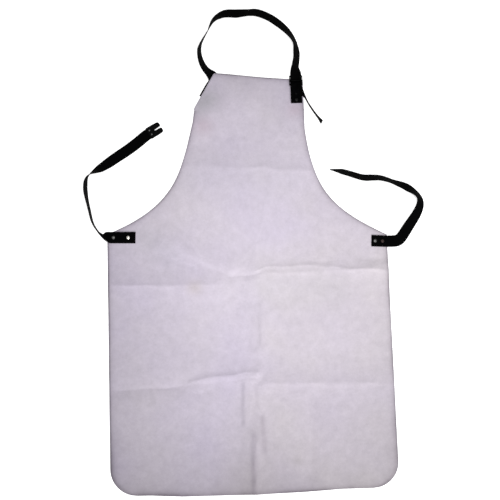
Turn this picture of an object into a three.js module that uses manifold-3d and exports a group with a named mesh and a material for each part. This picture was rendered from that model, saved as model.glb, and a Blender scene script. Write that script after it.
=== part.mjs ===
// A leather welding apron lying flat, with its webbing neck loop and waist straps spread round it.
// Millimetres, +Z up, +Y towards the bib. The origin is the middle of the outer box, on the floor.
import * as THREE from 'three';
import { mergeVertices } from 'three/addons/utils/BufferGeometryUtils.js';
import Module from 'manifold-3d';

const wasm = await Module();
wasm.setup();

// Leather panel
const apron_length = 911;
const hem_width = 604;
const hem_corner_radius = 56;
const hem_rise = 6;
const hem_rise_reach = 160;
const waist_height = 560;
const armhole_height = 242;
const bib_width = 245;
const bib_offset = 11.5;
const right_drop = 20;
const leather_thickness = 1.6;
const crease_height = 5.5;
const crease_spread = 80;

// Turned corner at the bib's top left
const turn_inset = 52;
const turn_foot_inset = 4;
const turn_drop = 83;
const turn_depth = 54;
const turn_slack = 1.5;
const turn_slope = 90;
const flap_peak = 0.3;

// Webbing
const webbing_width = 25;
const webbing_thickness = 1.6;
const webbing_step = 6;

// Rivets
const rivet_cap_radius = 3.8;
const rivet_cap_height = 1.2;
const rivet_foot_radius = 3.2;
const rivet_foot_height = 0.7;
const rivet_shank_radius = 1.6;
const rivet_sides = 12;
const hole_clearance = 0.3;
const gap = 0.3;
const seat_margin = 22;
const seat_slope = 45;

// Neck loop
const neck_loop_height = 138;
const turned_tab_length = 60;
const turned_tab_proud = 5;
const turned_tab_stops = [0.4, 0.78];
const turned_rivet_spacing = 26;
const neck_tab_length = 41;
const neck_tab_edge = 15.5;
const neck_rivet_spacing = 16;
const neck_rivet_setback = 7;
const neck_tail_length = 102;

// Neck slide
const slide_bar = 2.6;
const slide_bar_height = 2.4;
const slide_tab_window = 7;
const slide_strap_window = 7;
const slide_rail = 1.9;
const slide_rail_height = 3.8;
const slide_side_clearance = 0.35;
const slide_wrap_clearance = 0.65;
const slide_overhang = 8;

// Waist straps
const waist_tab_length = 61;
const left_strap_length = 329;
const left_rivet_spacing = 32;
const left_rivet_setback = 16;
const left_strap_below_waist = 9.5;
const right_tab_length = 34;
const right_strap_length = 343;
const right_rivet_spacing = 16;
const right_rivet_setback = 8;
const right_strap_below_waist = 12.4;
const riveted_end_margin = 7;
const tip_length = 26;
const tip_width = 3;

// Forked end fitting on the left waist strap
const clip_length = 32;
const clip_overhang = 0.8;
const clip_thickness = 5;
const clip_jaw_depth = 11;
const clip_slot_width = 3.2;
const clip_slot_depth = 16;
const clip_mouth_width = 6;
const clip_tip_taper = 2;
const clip_bevel = 0.6;
const clip_rivet_radius = 1.9;
const clip_rivet_shank = 1;
const clip_rivet_height = 0.5;
const clip_rivet_spacing = 10;

// Sizes worked out from the ones above
const half_hem = hem_width / 2;
const half_leather = leather_thickness / 2;
const half_webbing = webbing_width / 2;
const half_webbing_thickness = webbing_thickness / 2;
const hem_y = -apron_length / 2;
const top_y = apron_length / 2;
const bib_left = bib_offset - bib_width / 2;
const bib_right = bib_offset + bib_width / 2;
const left_waist = new THREE.Vector2(-half_hem, hem_y + waist_height);
const right_waist = new THREE.Vector2(half_hem, hem_y + waist_height - right_drop);
const left_armhole_top = new THREE.Vector2(bib_left, left_waist.y + armhole_height);
const right_armhole_top = new THREE.Vector2(bib_right, right_waist.y + armhole_height);
const right_bib_corner = new THREE.Vector2(bib_right, top_y - right_drop);
const turn_top = new THREE.Vector2(bib_left + turn_inset, top_y);
const turn_foot = new THREE.Vector2(bib_left + turn_foot_inset, top_y - turn_drop);
const turn_up = turn_top.clone().sub(turn_foot).normalize();
const turn_out = new THREE.Vector2(-turn_up.y, turn_up.x);
const turn_length = turn_top.distanceTo(turn_foot);

// Heights of the stacked layers. A tab on the leather's face has its rivets' feet under the leather.
const seat_height = rivet_foot_height + gap;
const face_height = seat_height + leather_thickness + gap;
const rivet_grip = 3 * gap + leather_thickness + webbing_thickness;
const doubled_grip = rivet_grip + gap + webbing_thickness;
const turned_tab_base = rivet_cap_height + gap;
const turned_flap_middle = turned_tab_base + webbing_thickness + gap + half_leather;
const turned_height = turned_flap_middle + half_leather + seat_height + gap + turn_slack;
const turn_radius = (turned_height + half_leather - turned_flap_middle) / 2;

// Share of the face's height at which a strap lies in the middle of the fitting's jaw
const clip_seat_share = (clip_thickness / 2 - half_webbing_thickness) / face_height;

// Places of the neck slide's bars, counted down from the bib's right top corner
const neck_x = bib_right - neck_tab_edge;
const wrap_radius = slide_bar / 2 + slide_wrap_clearance + half_webbing_thickness;
const top_bar_y = right_bib_corner.y + slide_overhang;
const middle_bar_y = top_bar_y - slide_bar - slide_strap_window;
const tab_bar_y = middle_bar_y - slide_bar - slide_tab_window;
const neck_tab_foot = tab_bar_y - neck_tab_length;
const tab_lower_layer = face_height + half_webbing_thickness;
const tab_upper_layer = tab_lower_layer + webbing_thickness + gap;
const slide_z = tab_lower_layer + wrap_radius;

// Packing creases. Ends are shares of the hem width and apron length from the panel's middle, height and
// spread are shares of the named crease sizes. A ridge stands up, a valley touches down between two swells.
const creases = [
  { kind: 'ridge', from: [-0.22, 0.275], to: [0.22, 0.255], height: 0.55, spread: 0.9 },
  { kind: 'ridge', from: [-0.29, 0.096], to: [-0.05, 0.022], height: 0.6, spread: 0.7 },
  { kind: 'ridge', from: [-0.05, 0.004], to: [0.47, 0.012], height: 1.0, spread: 1.0 },
  { kind: 'ridge', from: [-0.46, -0.01], to: [-0.12, -0.014], height: 0.8, spread: 0.9 },
  { kind: 'valley', from: [-0.47, -0.254], to: [-0.18, -0.25], height: 0.8, spread: 1.3 },
  { kind: 'ridge', from: [-0.18, -0.238], to: [0.02, -0.228], height: 0.7, spread: 0.8 },
  { kind: 'ridge', from: [0.05, -0.246], to: [0.43, -0.253], height: 0.65, spread: 0.9 },
  { kind: 'ridge', from: [0.045, -0.09], to: [0.035, -0.165], height: 0.5, spread: 0.6 },
  { kind: 'ridge', from: [0.04, -0.26], to: [0.0, -0.5], height: 0.8, spread: 0.8 },
  { kind: 'valley', from: [0.21, -0.28], to: [0.2, -0.46], height: 0.45, spread: 1.1 },
];

// Hem line: at is the share of the half hem from its middle, rise the share of the hem's rise.
const hem_line = [
  { at: -1.0, rise: 1.0 },
  { at: -0.72, rise: 0.8 },
  { at: -0.5, rise: 0.1 },
  { at: 0.05, rise: 0.0 },
  { at: 0.35, rise: 0.4 },
  { at: 0.6, rise: 0.95 },
  { at: 1.0, rise: 0.9 },
];

// Armhole curves: handles are shares of the armhole's width and height, from its waist end and its bib end.
const armholes = {
  left: { waist_handle: [0.83, 0.245], bib_handle: [0.15, 0.42] },
  right: { waist_handle: [0.67, 0.24], bib_handle: [0.08, 0.59] },
};

// Neck loop: across is the share from the turned corner to the slide, rise the share of the loop's height.
const neck_loop = [
  { across: -0.03, rise: -0.047, roll: 3 },
  { across: -0.075, rise: 0.012, roll: 38 },
  { across: -0.122, rise: 0.08, roll: 48 },
  { across: -0.158, rise: 0.168, roll: 56 },
  { across: -0.182, rise: 0.279, roll: 66 },
  { across: -0.186, rise: 0.386, roll: 74 },
  { across: -0.159, rise: 0.505, roll: 91 },
  { across: -0.113, rise: 0.616, roll: 98 },
  { across: -0.064, rise: 0.726, roll: 102 },
  { across: -0.027, rise: 0.822, roll: 113 },
  { across: 0.033, rise: 0.915, roll: 133 },
  { across: 0.144, rise: 0.991, roll: 153 },
  { across: 0.29, rise: 0.992, roll: 158 },
  { across: 0.43, rise: 0.996, roll: 145 },
  { across: 0.54, rise: 0.993, roll: 151 },
  { across: 0.693, rise: 0.908, roll: 148 },
  { across: 0.801, rise: 0.807, roll: 147 },
  { across: 0.902, rise: 0.679, roll: 138 },
  { across: 0.979, rise: 0.536, roll: 122 },
  { across: 1.011, rise: 0.433, roll: 116 },
  { across: 1.021, rise: 0.313, roll: 127 },
  { across: 1.016, rise: 0.191, roll: 124 },
  { across: 1.0, rise: 0.07, roll: 128 },
];

// Free strap ends: at is the share of the strap's length, heading and roll are in degrees.
const neck_tail = [
  { at: 0.0, heading: -76, roll: 180, base: 1 },
  { at: 0.06, heading: -66, roll: 196, base: 0.86 },
  { at: 0.16, heading: -56, roll: 236, base: 0.82 },
  { at: 0.25, heading: -56, roll: 260, base: 0.8 },
  { at: 0.32, heading: -57, roll: 272, base: 0.66 },
  { at: 0.4, heading: -60, roll: 277, base: 0.34 },
  { at: 0.5, heading: -61, roll: 277, base: 0 },
  { at: 0.85, heading: -55, roll: 275, base: 0 },
  { at: 1.0, heading: -54, roll: 264, base: 0 },
];
const left_strap = [
  { at: 0.0, heading: 178, roll: 0, base: 1 },
  { at: 0.02, heading: 168, roll: 30, base: 1 },
  { at: 0.052, heading: 144, roll: 75, base: 0.6 },
  { at: 0.087, heading: 130.5, roll: 87, base: 0.2 },
  { at: 0.13, heading: 118, roll: 87, base: 0 },
  { at: 0.195, heading: 101, roll: 86, base: 0 },
  { at: 0.296, heading: 103, roll: 83, base: 0 },
  { at: 0.37, heading: 96, roll: 77, base: 0 },
  { at: 0.428, heading: 83, roll: 80, base: 0 },
  { at: 0.456, heading: 71, roll: 88, base: 0 },
  { at: 0.509, heading: 26, roll: 113, base: 0 },
  { at: 0.567, heading: 34, roll: 148, base: 0 },
  { at: 0.65, heading: 35.5, roll: 169, base: 0 },
  { at: 0.745, heading: 32.5, roll: 176, base: 0 },
  { at: 0.86, heading: 37.5, roll: 180, base: 0 },
  { at: 0.92, heading: 39.5, roll: 180, base: 0 },
  { at: 0.955, heading: 32, roll: 180, base: clip_seat_share },
  { at: 1.0, heading: 30, roll: 180, base: clip_seat_share },
];
const right_strap = [
  { at: 0.0, heading: -4, roll: 0, base: 1 },
  { at: 0.059, heading: 2, roll: 6, base: 1 },
  { at: 0.092, heading: 43, roll: 14, base: 0.7 },
  { at: 0.118, heading: 54, roll: 18, base: 0.4 },
  { at: 0.16, heading: 55.5, roll: 18, base: 0 },
  { at: 0.245, heading: 53.5, roll: 30, base: 0 },
  { at: 0.3, heading: 61.5, roll: 36, base: 0 },
  { at: 0.34, heading: 72, roll: 43, base: 0 },
  { at: 0.38, heading: 101, roll: 50, base: 0 },
  { at: 0.402, heading: 122, roll: 55, base: 0 },
  { at: 0.432, heading: 139, roll: 52, base: 0 },
  { at: 0.488, heading: 147, roll: 37, base: 0 },
  { at: 0.54, heading: 160, roll: 46, base: 0 },
  { at: 0.6, heading: 156.5, roll: 57, base: 0 },
  { at: 0.66, heading: 163.5, roll: 52, base: 0 },
  { at: 0.7, heading: 177.5, roll: 49, base: 0 },
  { at: 0.754, heading: 181, roll: 46, base: 0 },
  { at: 0.803, heading: 161.5, roll: 47, base: 0 },
  { at: 0.858, heading: 160, roll: 48, base: 0 },
  { at: 1.0, heading: 172, roll: 54, base: 0 },
];

// Materials
const split_leather = new THREE.MeshStandardMaterial({ color: '#cdc4d2', roughness: 0.95, metalness: 0 });
const black_webbing = new THREE.MeshStandardMaterial({ color: '#121214', roughness: 0.85, metalness: 0 });
const black_plastic = new THREE.MeshStandardMaterial({ color: '#0f0f11', roughness: 0.4, metalness: 0 });
const rivet_metal = new THREE.MeshStandardMaterial({ color: '#b9b8b4', roughness: 0.35, metalness: 1 });

const radians = THREE.MathUtils.degToRad;
const lerp = THREE.MathUtils.lerp;
const smoothstep = THREE.MathUtils.smoothstep;

// Straight row of points from one place up to, but not including, another
function rowBetween(from, to, count) {
  return Array.from({ length: count }, (_, k) => from.clone().lerp(to, k / count));
}

// One side edge of the panel, hem to bib. side is -1 for the left edge and +1 for the right.
function panelEdge(side, waist, armhole_top, handles, bib_points) {
  const corner = new THREE.Vector2(side * (half_hem - hem_corner_radius), hem_y + hem_corner_radius);
  const arc_steps = 5;
  const arc = Array.from({ length: arc_steps }, (_, k) => {
    const angle = (k / arc_steps) * Math.PI / 2;
    return new THREE.Vector2(
      corner.x + side * hem_corner_radius * Math.sin(angle), corner.y - hem_corner_radius * Math.cos(angle));
  });
  const side_foot = new THREE.Vector2(side * half_hem, corner.y);
  const reach = armhole_top.clone().sub(waist);
  const curve = new THREE.CubicBezierCurve(
    waist,
    new THREE.Vector2(waist.x + reach.x * handles.waist_handle[0], waist.y + reach.y * handles.waist_handle[1]),
    new THREE.Vector2(armhole_top.x - reach.x * handles.bib_handle[0],
      armhole_top.y - reach.y * handles.bib_handle[1]),
    armhole_top);
  const armhole = curve.getSpacedPoints(13).slice(0, -1);
  return [...arc, ...rowBetween(side_foot, waist, 18), ...armhole, ...bib_points];
}

const left_edge = panelEdge(-1, left_waist, left_armhole_top, armholes.left,
  [...rowBetween(left_armhole_top, turn_foot, 2), ...rowBetween(turn_foot, turn_top, 7), turn_top]);
const right_edge = panelEdge(1, right_waist, right_armhole_top, armholes.right,
  [...rowBetween(right_armhole_top, right_bib_corner, 9), right_bib_corner]);

// Lifts a place near the hem up to the hem's line
function raiseHem(place) {
  const rise = hem_rise * tableValue(hem_line, 'rise', Math.min(1, place.x / half_hem));
  place.y += rise * Math.max(0, 1 - (place.y - hem_y) / hem_rise_reach);
}

// Distance from a point to a straight stretch between two points
function distanceToStretch(point, from, to) {
  const along = to.clone().sub(from);
  const share = THREE.MathUtils.clamp(point.clone().sub(from).dot(along) / along.lengthSq(), 0, 1);
  return point.distanceTo(from.clone().addScaledVector(along, share));
}

// Height of the leather's underside made by the packing creases alone
function creaseLift(point) {
  let lift = 0;
  for (const crease of creases) {
    const from = new THREE.Vector2(crease.from[0] * hem_width, crease.from[1] * apron_length);
    const to = new THREE.Vector2(crease.to[0] * hem_width, crease.to[1] * apron_length);
    const q = distanceToStretch(point, from, to) / (crease.spread * crease_spread);
    if (q >= 1) continue;
    const ridge = (1 - q) ** 2;
    const swell = 27 / 4 * q * (1 - q) ** 2;
    lift = Math.max(lift, crease.height * crease_height * (crease.kind === 'ridge' ? ridge : swell));
  }
  return lift;
}

// Whether a point is on the turned flap's triangle
function insideFlap(point, corners) {
  return corners.every((corner, k) => {
    const side = corners[(k + 1) % corners.length].clone().sub(corner);
    return side.cross(point.clone().sub(corner)) >= 0;
  });
}

// Share, 1 on the turned flap and 0 a slope's length from it, of the turned corner's lift
function turnedShare(point) {
  const tip = turn_top.clone().lerp(turn_foot, flap_peak).addScaledVector(turn_out, -turn_depth);
  const corners = [turn_top, turn_foot, tip];
  if (insideFlap(point, corners)) return 1;
  const away = Math.min(...corners.map((corner, k) => distanceToStretch(point, corner, corners[(k + 1) % 3])));
  return 1 - smoothstep(away, rivet_foot_radius, turn_slope);
}

// Ends of the three riveted seats on the leather's face
const left_tab_start = new THREE.Vector2(left_waist.x + waist_tab_length, left_waist.y - left_strap_below_waist);
const right_tab_start = new THREE.Vector2(right_waist.x - right_tab_length, right_waist.y - right_strap_below_waist);
const seats = [
  [left_tab_start, new THREE.Vector2(left_waist.x, left_tab_start.y)],
  [right_tab_start, new THREE.Vector2(right_waist.x, right_tab_start.y)],
  [new THREE.Vector2(neck_x, neck_tab_foot), new THREE.Vector2(neck_x, right_bib_corner.y)],
];

// Height of the leather's underside over the floor
function panelLift(point) {
  const turned = turnedShare(point);
  let lift = lerp(creaseLift(point), turned_height, turned);
  for (const [from, to] of seats) {
    const away = distanceToStretch(point, from, to) - half_webbing;
    lift = lerp(lift, seat_height, 1 - smoothstep(away, seat_margin, seat_slope));
  }
  return lift;
}

// Turns a sheet of middle points and faces into a closed wall of the given thickness
function thicken(points, faces, thickness) {
  const normals = points.map(() => new THREE.Vector3());
  for (const [a, b, c] of faces) {
    const normal = points[b].clone().sub(points[a]).cross(points[c].clone().sub(points[a]));
    for (const k of [a, b, c]) normals[k].add(normal);
  }
  normals.forEach((normal) => normal.normalize());
  const count = points.length;
  const outer = points.map((p, k) => p.clone().addScaledVector(normals[k], thickness / 2));
  const inner = points.map((p, k) => p.clone().addScaledVector(normals[k], -thickness / 2));
  const edges = new Set(faces.flatMap(([a, b, c]) => [`${a},${b}`, `${b},${c}`, `${c},${a}`]));
  const walls = [];
  for (const edge of edges) {
    const [a, b] = edge.split(',').map(Number);
    if (edges.has(`${b},${a}`)) continue;
    walls.push([a, a + count, b + count], [a, b + count, b]);
  }
  const backs = faces.map(([a, b, c]) => [c + count, b + count, a + count]);
  return solidFrom([...outer, ...inner], [...faces, ...backs, ...walls]);
}

// A manifold solid from points and triangles
function solidFrom(points, faces) {
  return new wasm.Manifold(new wasm.Mesh({
    numProp: 3,
    vertProperties: new Float32Array(points.flatMap((p) => [p.x, p.y, p.z])),
    triVerts: new Uint32Array(faces.flat()),
  }));
}

// A manifold solid from a three.js geometry
function solidOf(geometry) {
  const bare = geometry.index ? geometry.toNonIndexed() : geometry.clone();
  bare.deleteAttribute('normal');
  bare.deleteAttribute('uv');
  const merged = mergeVertices(bare, 1e-4);
  return new wasm.Manifold(new wasm.Mesh({
    numProp: 3,
    vertProperties: new Float32Array(merged.attributes.position.array),
    triVerts: new Uint32Array(merged.index.array),
  }));
}

// A three.js geometry from a manifold solid
function geometryOf(solid) {
  const mesh = solid.getMesh();
  const geometry = new THREE.BufferGeometry();
  geometry.setAttribute('position', new THREE.BufferAttribute(new Float32Array(mesh.vertProperties), 3));
  geometry.setIndex(new THREE.BufferAttribute(new Uint32Array(mesh.triVerts), 1));
  geometry.computeVertexNormals();
  return geometry;
}

// Cuts an upright round hole for each rivet through a solid
function drilled(solid, rivets, radius) {
  const reach = 60;
  let cut = solid;
  for (const rivet of rivets) {
    const drill = new THREE.CylinderGeometry(radius, radius, reach, rivet_sides).rotateX(Math.PI / 2);
    drill.translate(rivet.x, rivet.y, 0);
    cut = cut.subtract(solidOf(drill));
  }
  return cut;
}

// The leather sheet: rows run from the left edge to the right one, and the turned flap is bent back under
function apronPanel(rivets, turned_rivets) {
  const columns = 28;
  const flap_columns = 8;
  const points = [];
  const index = left_edge.map((left, row) => Array.from({ length: columns + 1 }, (_, column) => {
    const place = left.clone().lerp(right_edge[row], column / columns);
    raiseHem(place);
    points.push(new THREE.Vector3(place.x, place.y, panelLift(place) + half_leather));
    return points.length - 1;
  }));
  const faces = [];
  const addCell = (a, b, c, d) => {
    if (new Set([a, b, c]).size === 3) faces.push([a, b, c]);
    if (new Set([a, c, d]).size === 3) faces.push([a, c, d]);
  };
  for (let row = 0; row < index.length - 1; row += 1) {
    for (let column = 0; column < columns; column += 1) {
      addCell(index[row][column], index[row][column + 1], index[row + 1][column + 1], index[row + 1][column]);
    }
  }
  const first = index.length - 8;
  const flap = left_edge.slice(first).map((edge, k) => flapRow(edge, index[first + k][0], points, flap_columns));
  for (let row = 0; row < flap.length - 1; row += 1) {
    for (let column = 0; column < flap_columns; column += 1) {
      addCell(flap[row][column + 1], flap[row][column], flap[row + 1][column], flap[row + 1][column + 1]);
    }
  }
  const sheet = thicken(points, faces, leather_thickness);
  const face_drilled = drilled(sheet, rivets, rivet_shank_radius + hole_clearance);
  return face_drilled.subtract(turnedDrill(turned_rivets));
}

// One row of the turned flap, square to the fold: round the bend, then flat underneath
function flapRow(edge, edge_index, points, flap_columns) {
  const down = edge.distanceTo(turn_top) / turn_length;
  const width = turn_depth * Math.max(0, Math.min(down / flap_peak, (1 - down) / (1 - flap_peak)));
  const row = [edge_index];
  for (let column = 1; column <= flap_columns; column += 1) {
    const run = width * (column / flap_columns) ** 1.6;
    if (width < gap) {
      row.push(edge_index);
      continue;
    }
    const bend = Math.min(run / turn_radius, Math.PI);
    const out = turn_radius * Math.sin(bend) - Math.max(0, run - Math.PI * turn_radius);
    const place = edge.clone().addScaledVector(turn_out, out);
    const height = turned_height + half_leather - turn_radius * (1 - Math.cos(bend));
    points.push(new THREE.Vector3(place.x, place.y, height));
    row.push(points.length - 1);
  }
  return row;
}

// Drills for the hidden rivets, which go through the flap and not through the leather above it
function turnedDrill(rivets) {
  const reach = turned_flap_middle + leather_thickness;
  const drills = rivets.map((rivet) => {
    const radius = rivet_shank_radius + hole_clearance;
    const drill = new THREE.CylinderGeometry(radius, radius, reach, rivet_sides).rotateX(Math.PI / 2);
    return solidOf(drill.translate(rivet.x, rivet.y, reach / 2));
  });
  return drills[0].add(drills[1]);
}

// Height of a strap's middle over what its lower edge stands on
function standing(roll) {
  return half_webbing * Math.abs(Math.sin(roll)) + half_webbing_thickness * Math.abs(Math.cos(roll));
}

// Value of a table's column at a share, straight between its rows
function tableValue(table, column, at) {
  const next = Math.max(1, table.findIndex((row) => row.at >= at));
  const low = table[next - 1];
  const high = table[next];
  return lerp(low[column], high[column], THREE.MathUtils.clamp((at - low.at) / (high.at - low.at), 0, 1));
}

// A strap laid out from its start: a straight riveted stretch, then the free length that its table steers
function strapStations(start, straight, length, table, base_height) {
  const steps = Math.round(length / webbing_step);
  const first = radians(table[0].heading);
  const place = start.clone();
  const stations = [];
  if (straight > 0) {
    const z = table[0].base * base_height + half_webbing_thickness;
    stations.push({ place: new THREE.Vector3(place.x, place.y, z), roll: 0, half: half_webbing });
    place.add(new THREE.Vector2(Math.cos(first), Math.sin(first)).multiplyScalar(straight));
  }
  for (let k = 0; k <= steps; k += 1) {
    const at = k / steps;
    const roll = radians(tableValue(table, 'roll', at));
    const z = tableValue(table, 'base', at) * base_height + standing(roll);
    stations.push({ place: new THREE.Vector3(place.x, place.y, z), roll, half: half_webbing });
    const heading = radians(tableValue(table, 'heading', Math.min(1, at + 0.5 / steps)));
    place.add(new THREE.Vector2(Math.cos(heading), Math.sin(heading)).multiplyScalar(length / steps));
  }
  return stations;
}

// A flat band carried along its stations: an oblong section, turned by each station's roll, closed at both ends
// The two wide faces are split along the same diagonal, so that a twisted stretch keeps its thickness.
function band(stations, thickness) {
  const points = [];
  const faces = [];
  stations.forEach((station, k) => {
    const before = stations[Math.max(0, k - 1)].place;
    const after = stations[Math.min(stations.length - 1, k + 1)].place;
    const along = after.clone().sub(before).normalize();
    const level = new THREE.Vector3(-along.y, along.x, 0).normalize();
    const upright = along.clone().cross(level);
    const across = level.clone().multiplyScalar(Math.cos(station.roll))
      .addScaledVector(upright, Math.sin(station.roll));
    const through = across.clone().cross(along).negate();
    for (const [side, face] of [[1, 1], [-1, 1], [-1, -1], [1, -1]]) {
      points.push(station.place.clone().addScaledVector(across, side * station.half)
        .addScaledVector(through, face * thickness / 2));
    }
    if (k === 0) return;
    for (let corner = 0; corner < 4; corner += 1) {
      const a = 4 * (k - 1) + corner;
      const b = 4 * (k - 1) + (corner + 1) % 4;
      if (corner === 2) faces.push([a, b, a + 4], [b, b + 4, a + 4]);
      else faces.push([a, b, b + 4], [a, b + 4, a + 4]);
    }
  });
  const last = points.length - 4;
  faces.push([0, 2, 1], [0, 3, 2], [last, last + 1, last + 2], [last, last + 2, last + 3]);
  const solid = solidFrom(points, faces);
  return solid.volume() > 0 ? solid : solidFrom(points, faces.map(([a, b, c]) => [c, b, a]));
}

// Places of two rivets in line, either side of a middle point
function rivetPair(first, direction, spacing) {
  return [first.clone(), first.clone().addScaledVector(direction, spacing)];
}

const up = new THREE.Vector2(0, 1);
const left_tab_along = up.clone().rotateAround(new THREE.Vector2(), radians(left_strap[0].heading - 90));
const right_tab_along = up.clone().rotateAround(new THREE.Vector2(), radians(right_strap[0].heading - 90));
const left_strap_rivets = rivetPair(
  left_tab_start.clone().addScaledVector(left_tab_along, left_rivet_setback), left_tab_along, left_rivet_spacing);
const right_strap_rivets = rivetPair(
  right_tab_start.clone().addScaledVector(right_tab_along, right_rivet_setback),
  right_tab_along, right_rivet_spacing);
const neck_tab_rivets = rivetPair(
  new THREE.Vector2(neck_x, neck_tab_foot + neck_rivet_setback), up, neck_rivet_spacing);
const turned_tab_middle = turn_top.clone().addScaledVector(turn_out, turned_tab_proud + turn_radius - half_webbing);
const turned_tab_foot = turned_tab_middle.clone().addScaledVector(turn_up, -turned_tab_length);
const turned_tab_rivets = rivetPair(
  turned_tab_foot.clone().addScaledVector(turn_up, (turned_tab_length - turned_rivet_spacing) / 2),
  turn_up, turned_rivet_spacing);

// The neck strap from the turned corner to the slide's top bar, as a smooth curve through its table
function neckLoopStations(slide_entry) {
  const rows = [
    { place: turned_tab_foot, roll: 0, base: turned_tab_base },
    { place: turned_tab_foot.clone().addScaledVector(turn_up, turned_tab_length * turned_tab_stops[0]), roll: 0, base: turned_tab_base },
    { place: turned_tab_foot.clone().addScaledVector(turn_up, turned_tab_length * turned_tab_stops[1]), roll: 0, base: turned_tab_base },
  ];
  neck_loop.forEach((row, k) => rows.push({
    place: new THREE.Vector2(lerp(turn_top.x, neck_x, row.across), top_y + row.rise * neck_loop_height),
    roll: radians(row.roll),
    base: k === 0 ? turned_tab_base : 0,
  }));
  rows.push({
    place: new THREE.Vector2(neck_x, slide_entry.y),
    roll: Math.PI,
    base: slide_entry.z - half_webbing_thickness,
  });
  const curve = new THREE.CatmullRomCurve3(
    rows.map((row) => new THREE.Vector3(row.place.x, row.place.y, 0)), false, 'centripetal');
  const stations = [];
  for (let row = 0; row < rows.length - 1; row += 1) {
    const steps = Math.max(1, Math.round(rows[row].place.distanceTo(rows[row + 1].place) / webbing_step));
    for (let k = 0; k < steps; k += 1) {
      const share = k / steps;
      const place = curve.getPoint((row + share) / (rows.length - 1));
      const roll = lerp(rows[row].roll, rows[row + 1].roll, share);
      place.z = lerp(rows[row].base, rows[row + 1].base, share) + standing(roll);
      stations.push({ place, roll, half: half_webbing });
    }
  }
  return stations;
}

// The neck strap's way through the slide: over the top bar, under the middle one, over the tab's wrapped bar
function slideStations() {
  const bars = [
    { y: top_bar_y, radius: wrap_radius, side: 1 },
    { y: middle_bar_y, radius: wrap_radius, side: -1 },
    { y: tab_bar_y, radius: wrap_radius + webbing_thickness + gap, side: 1 },
  ];
  const lean = bars.slice(1).map((bar, k) => Math.asin((bar.radius + bars[k].radius) / (bars[k].y - bar.y)));
  const shallow = radians(18);
  const stations = [];
  bars.forEach((bar, k) => {
    const enter = k === 0 ? shallow : lean[k - 1];
    const leave = k === bars.length - 1 ? shallow : lean[k];
    for (let step = 0; step <= 4; step += 1) {
      const angle = lerp(-enter, leave, step / 4);
      stations.push({
        place: new THREE.Vector3(neck_x, bar.y - bar.radius * Math.sin(angle),
          slide_z + bar.side * bar.radius * Math.cos(angle)),
        roll: Math.PI,
        half: half_webbing,
      });
    }
  });
  return stations;
}

function neckStrap() {
  const threaded = slideStations();
  const exit = threaded[threaded.length - 1].place;
  const tail = strapStations(
    new THREE.Vector2(exit.x, exit.y), 0, neck_tail_length, neck_tail, exit.z - half_webbing_thickness);
  const stations = [...neckLoopStations(threaded[0].place), ...threaded, ...tail.slice(1)];
  return drilled(band(stations, webbing_thickness), turned_tab_rivets, rivet_shank_radius + hole_clearance);
}

// The doubled webbing tab: along the leather, round the slide's lowest bar and back over itself
function neckTab() {
  const stations = [];
  const add = (y, z) => stations.push({ place: new THREE.Vector3(neck_x, y, z), roll: 0, half: half_webbing });
  add(neck_tab_foot, tab_lower_layer);
  for (let step = 0; step <= 8; step += 1) {
    const angle = (step / 8) * Math.PI;
    add(tab_bar_y + wrap_radius * Math.sin(angle), slide_z - wrap_radius * Math.cos(angle));
  }
  add(lerp(neck_tab_foot, tab_bar_y, 0.78), tab_upper_layer);
  add(neck_tab_foot + webbing_thickness, tab_upper_layer);
  return drilled(foldedBand(stations), neck_tab_rivets, rivet_shank_radius + hole_clearance);
}

// A band that doubles back on itself in an upright plane: its side outline, extruded across its width
function foldedBand(stations) {
  const sides = [1, -1].map((face) => stations.map((station, k) => {
    const before = stations[Math.max(0, k - 1)].place;
    const after = stations[Math.min(stations.length - 1, k + 1)].place;
    const along = new THREE.Vector2(after.y - before.y, after.z - before.z).normalize();
    return new THREE.Vector2(station.place.y, station.place.z)
      .add(new THREE.Vector2(-along.y, along.x).multiplyScalar(face * half_webbing_thickness));
  }));
  const outline = new THREE.Shape([...sides[0], ...sides[1].reverse()]);
  const geometry = new THREE.ExtrudeGeometry(outline, { depth: webbing_width, bevelEnabled: false });
  geometry.rotateX(Math.PI / 2).rotateZ(Math.PI / 2);
  return solidOf(geometry.translate(neck_x - half_webbing, 0, 0));
}

// The slide: a plate with two windows, and a thicker rail down each side
function neckSlide() {
  const inner = half_webbing + slide_side_clearance;
  const outer = inner + slide_rail;
  const low = tab_bar_y - slide_bar / 2;
  const high = top_bar_y + slide_bar / 2;
  const plate = rectangle(-outer, low, outer, high);
  plate.holes.push(
    rectangle(-inner, tab_bar_y + slide_bar / 2, inner, middle_bar_y - slide_bar / 2),
    rectangle(-inner, middle_bar_y + slide_bar / 2, inner, top_bar_y - slide_bar / 2));
  const flat = new THREE.ExtrudeGeometry(plate, { depth: slide_bar_height, bevelEnabled: false });
  let slide = solidOf(flat.translate(neck_x, 0, slide_z - slide_bar_height / 2));
  for (const side of [-1, 1]) {
    const rail = new THREE.BoxGeometry(slide_rail, high - low, slide_rail_height);
    rail.translate(neck_x + side * (inner + slide_rail / 2), (low + high) / 2, slide_z);
    slide = slide.add(solidOf(rail));
  }
  return slide;
}

function rectangle(x0, y0, x1, y1) {
  return new THREE.Shape([
    new THREE.Vector2(x0, y0), new THREE.Vector2(x1, y0), new THREE.Vector2(x1, y1), new THREE.Vector2(x0, y1)]);
}

const left_riveted = left_rivet_setback + left_rivet_spacing + riveted_end_margin;
const right_riveted = right_rivet_setback + right_rivet_spacing + riveted_end_margin;
const left_stations = strapStations(left_tab_start, left_riveted, left_strap_length, left_strap, face_height);
const right_stations = strapStations(right_tab_start, right_riveted, right_strap_length, right_strap, face_height);

// The right strap's end is cut and sealed to a point
function pointed(stations, length) {
  const end = stations.length - 1;
  return stations.map((station, k) => {
    const left = (end - k) * length / end;
    return { ...station, half: lerp(tip_width / 2, half_webbing, Math.min(1, left / tip_length)) };
  });
}

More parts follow.
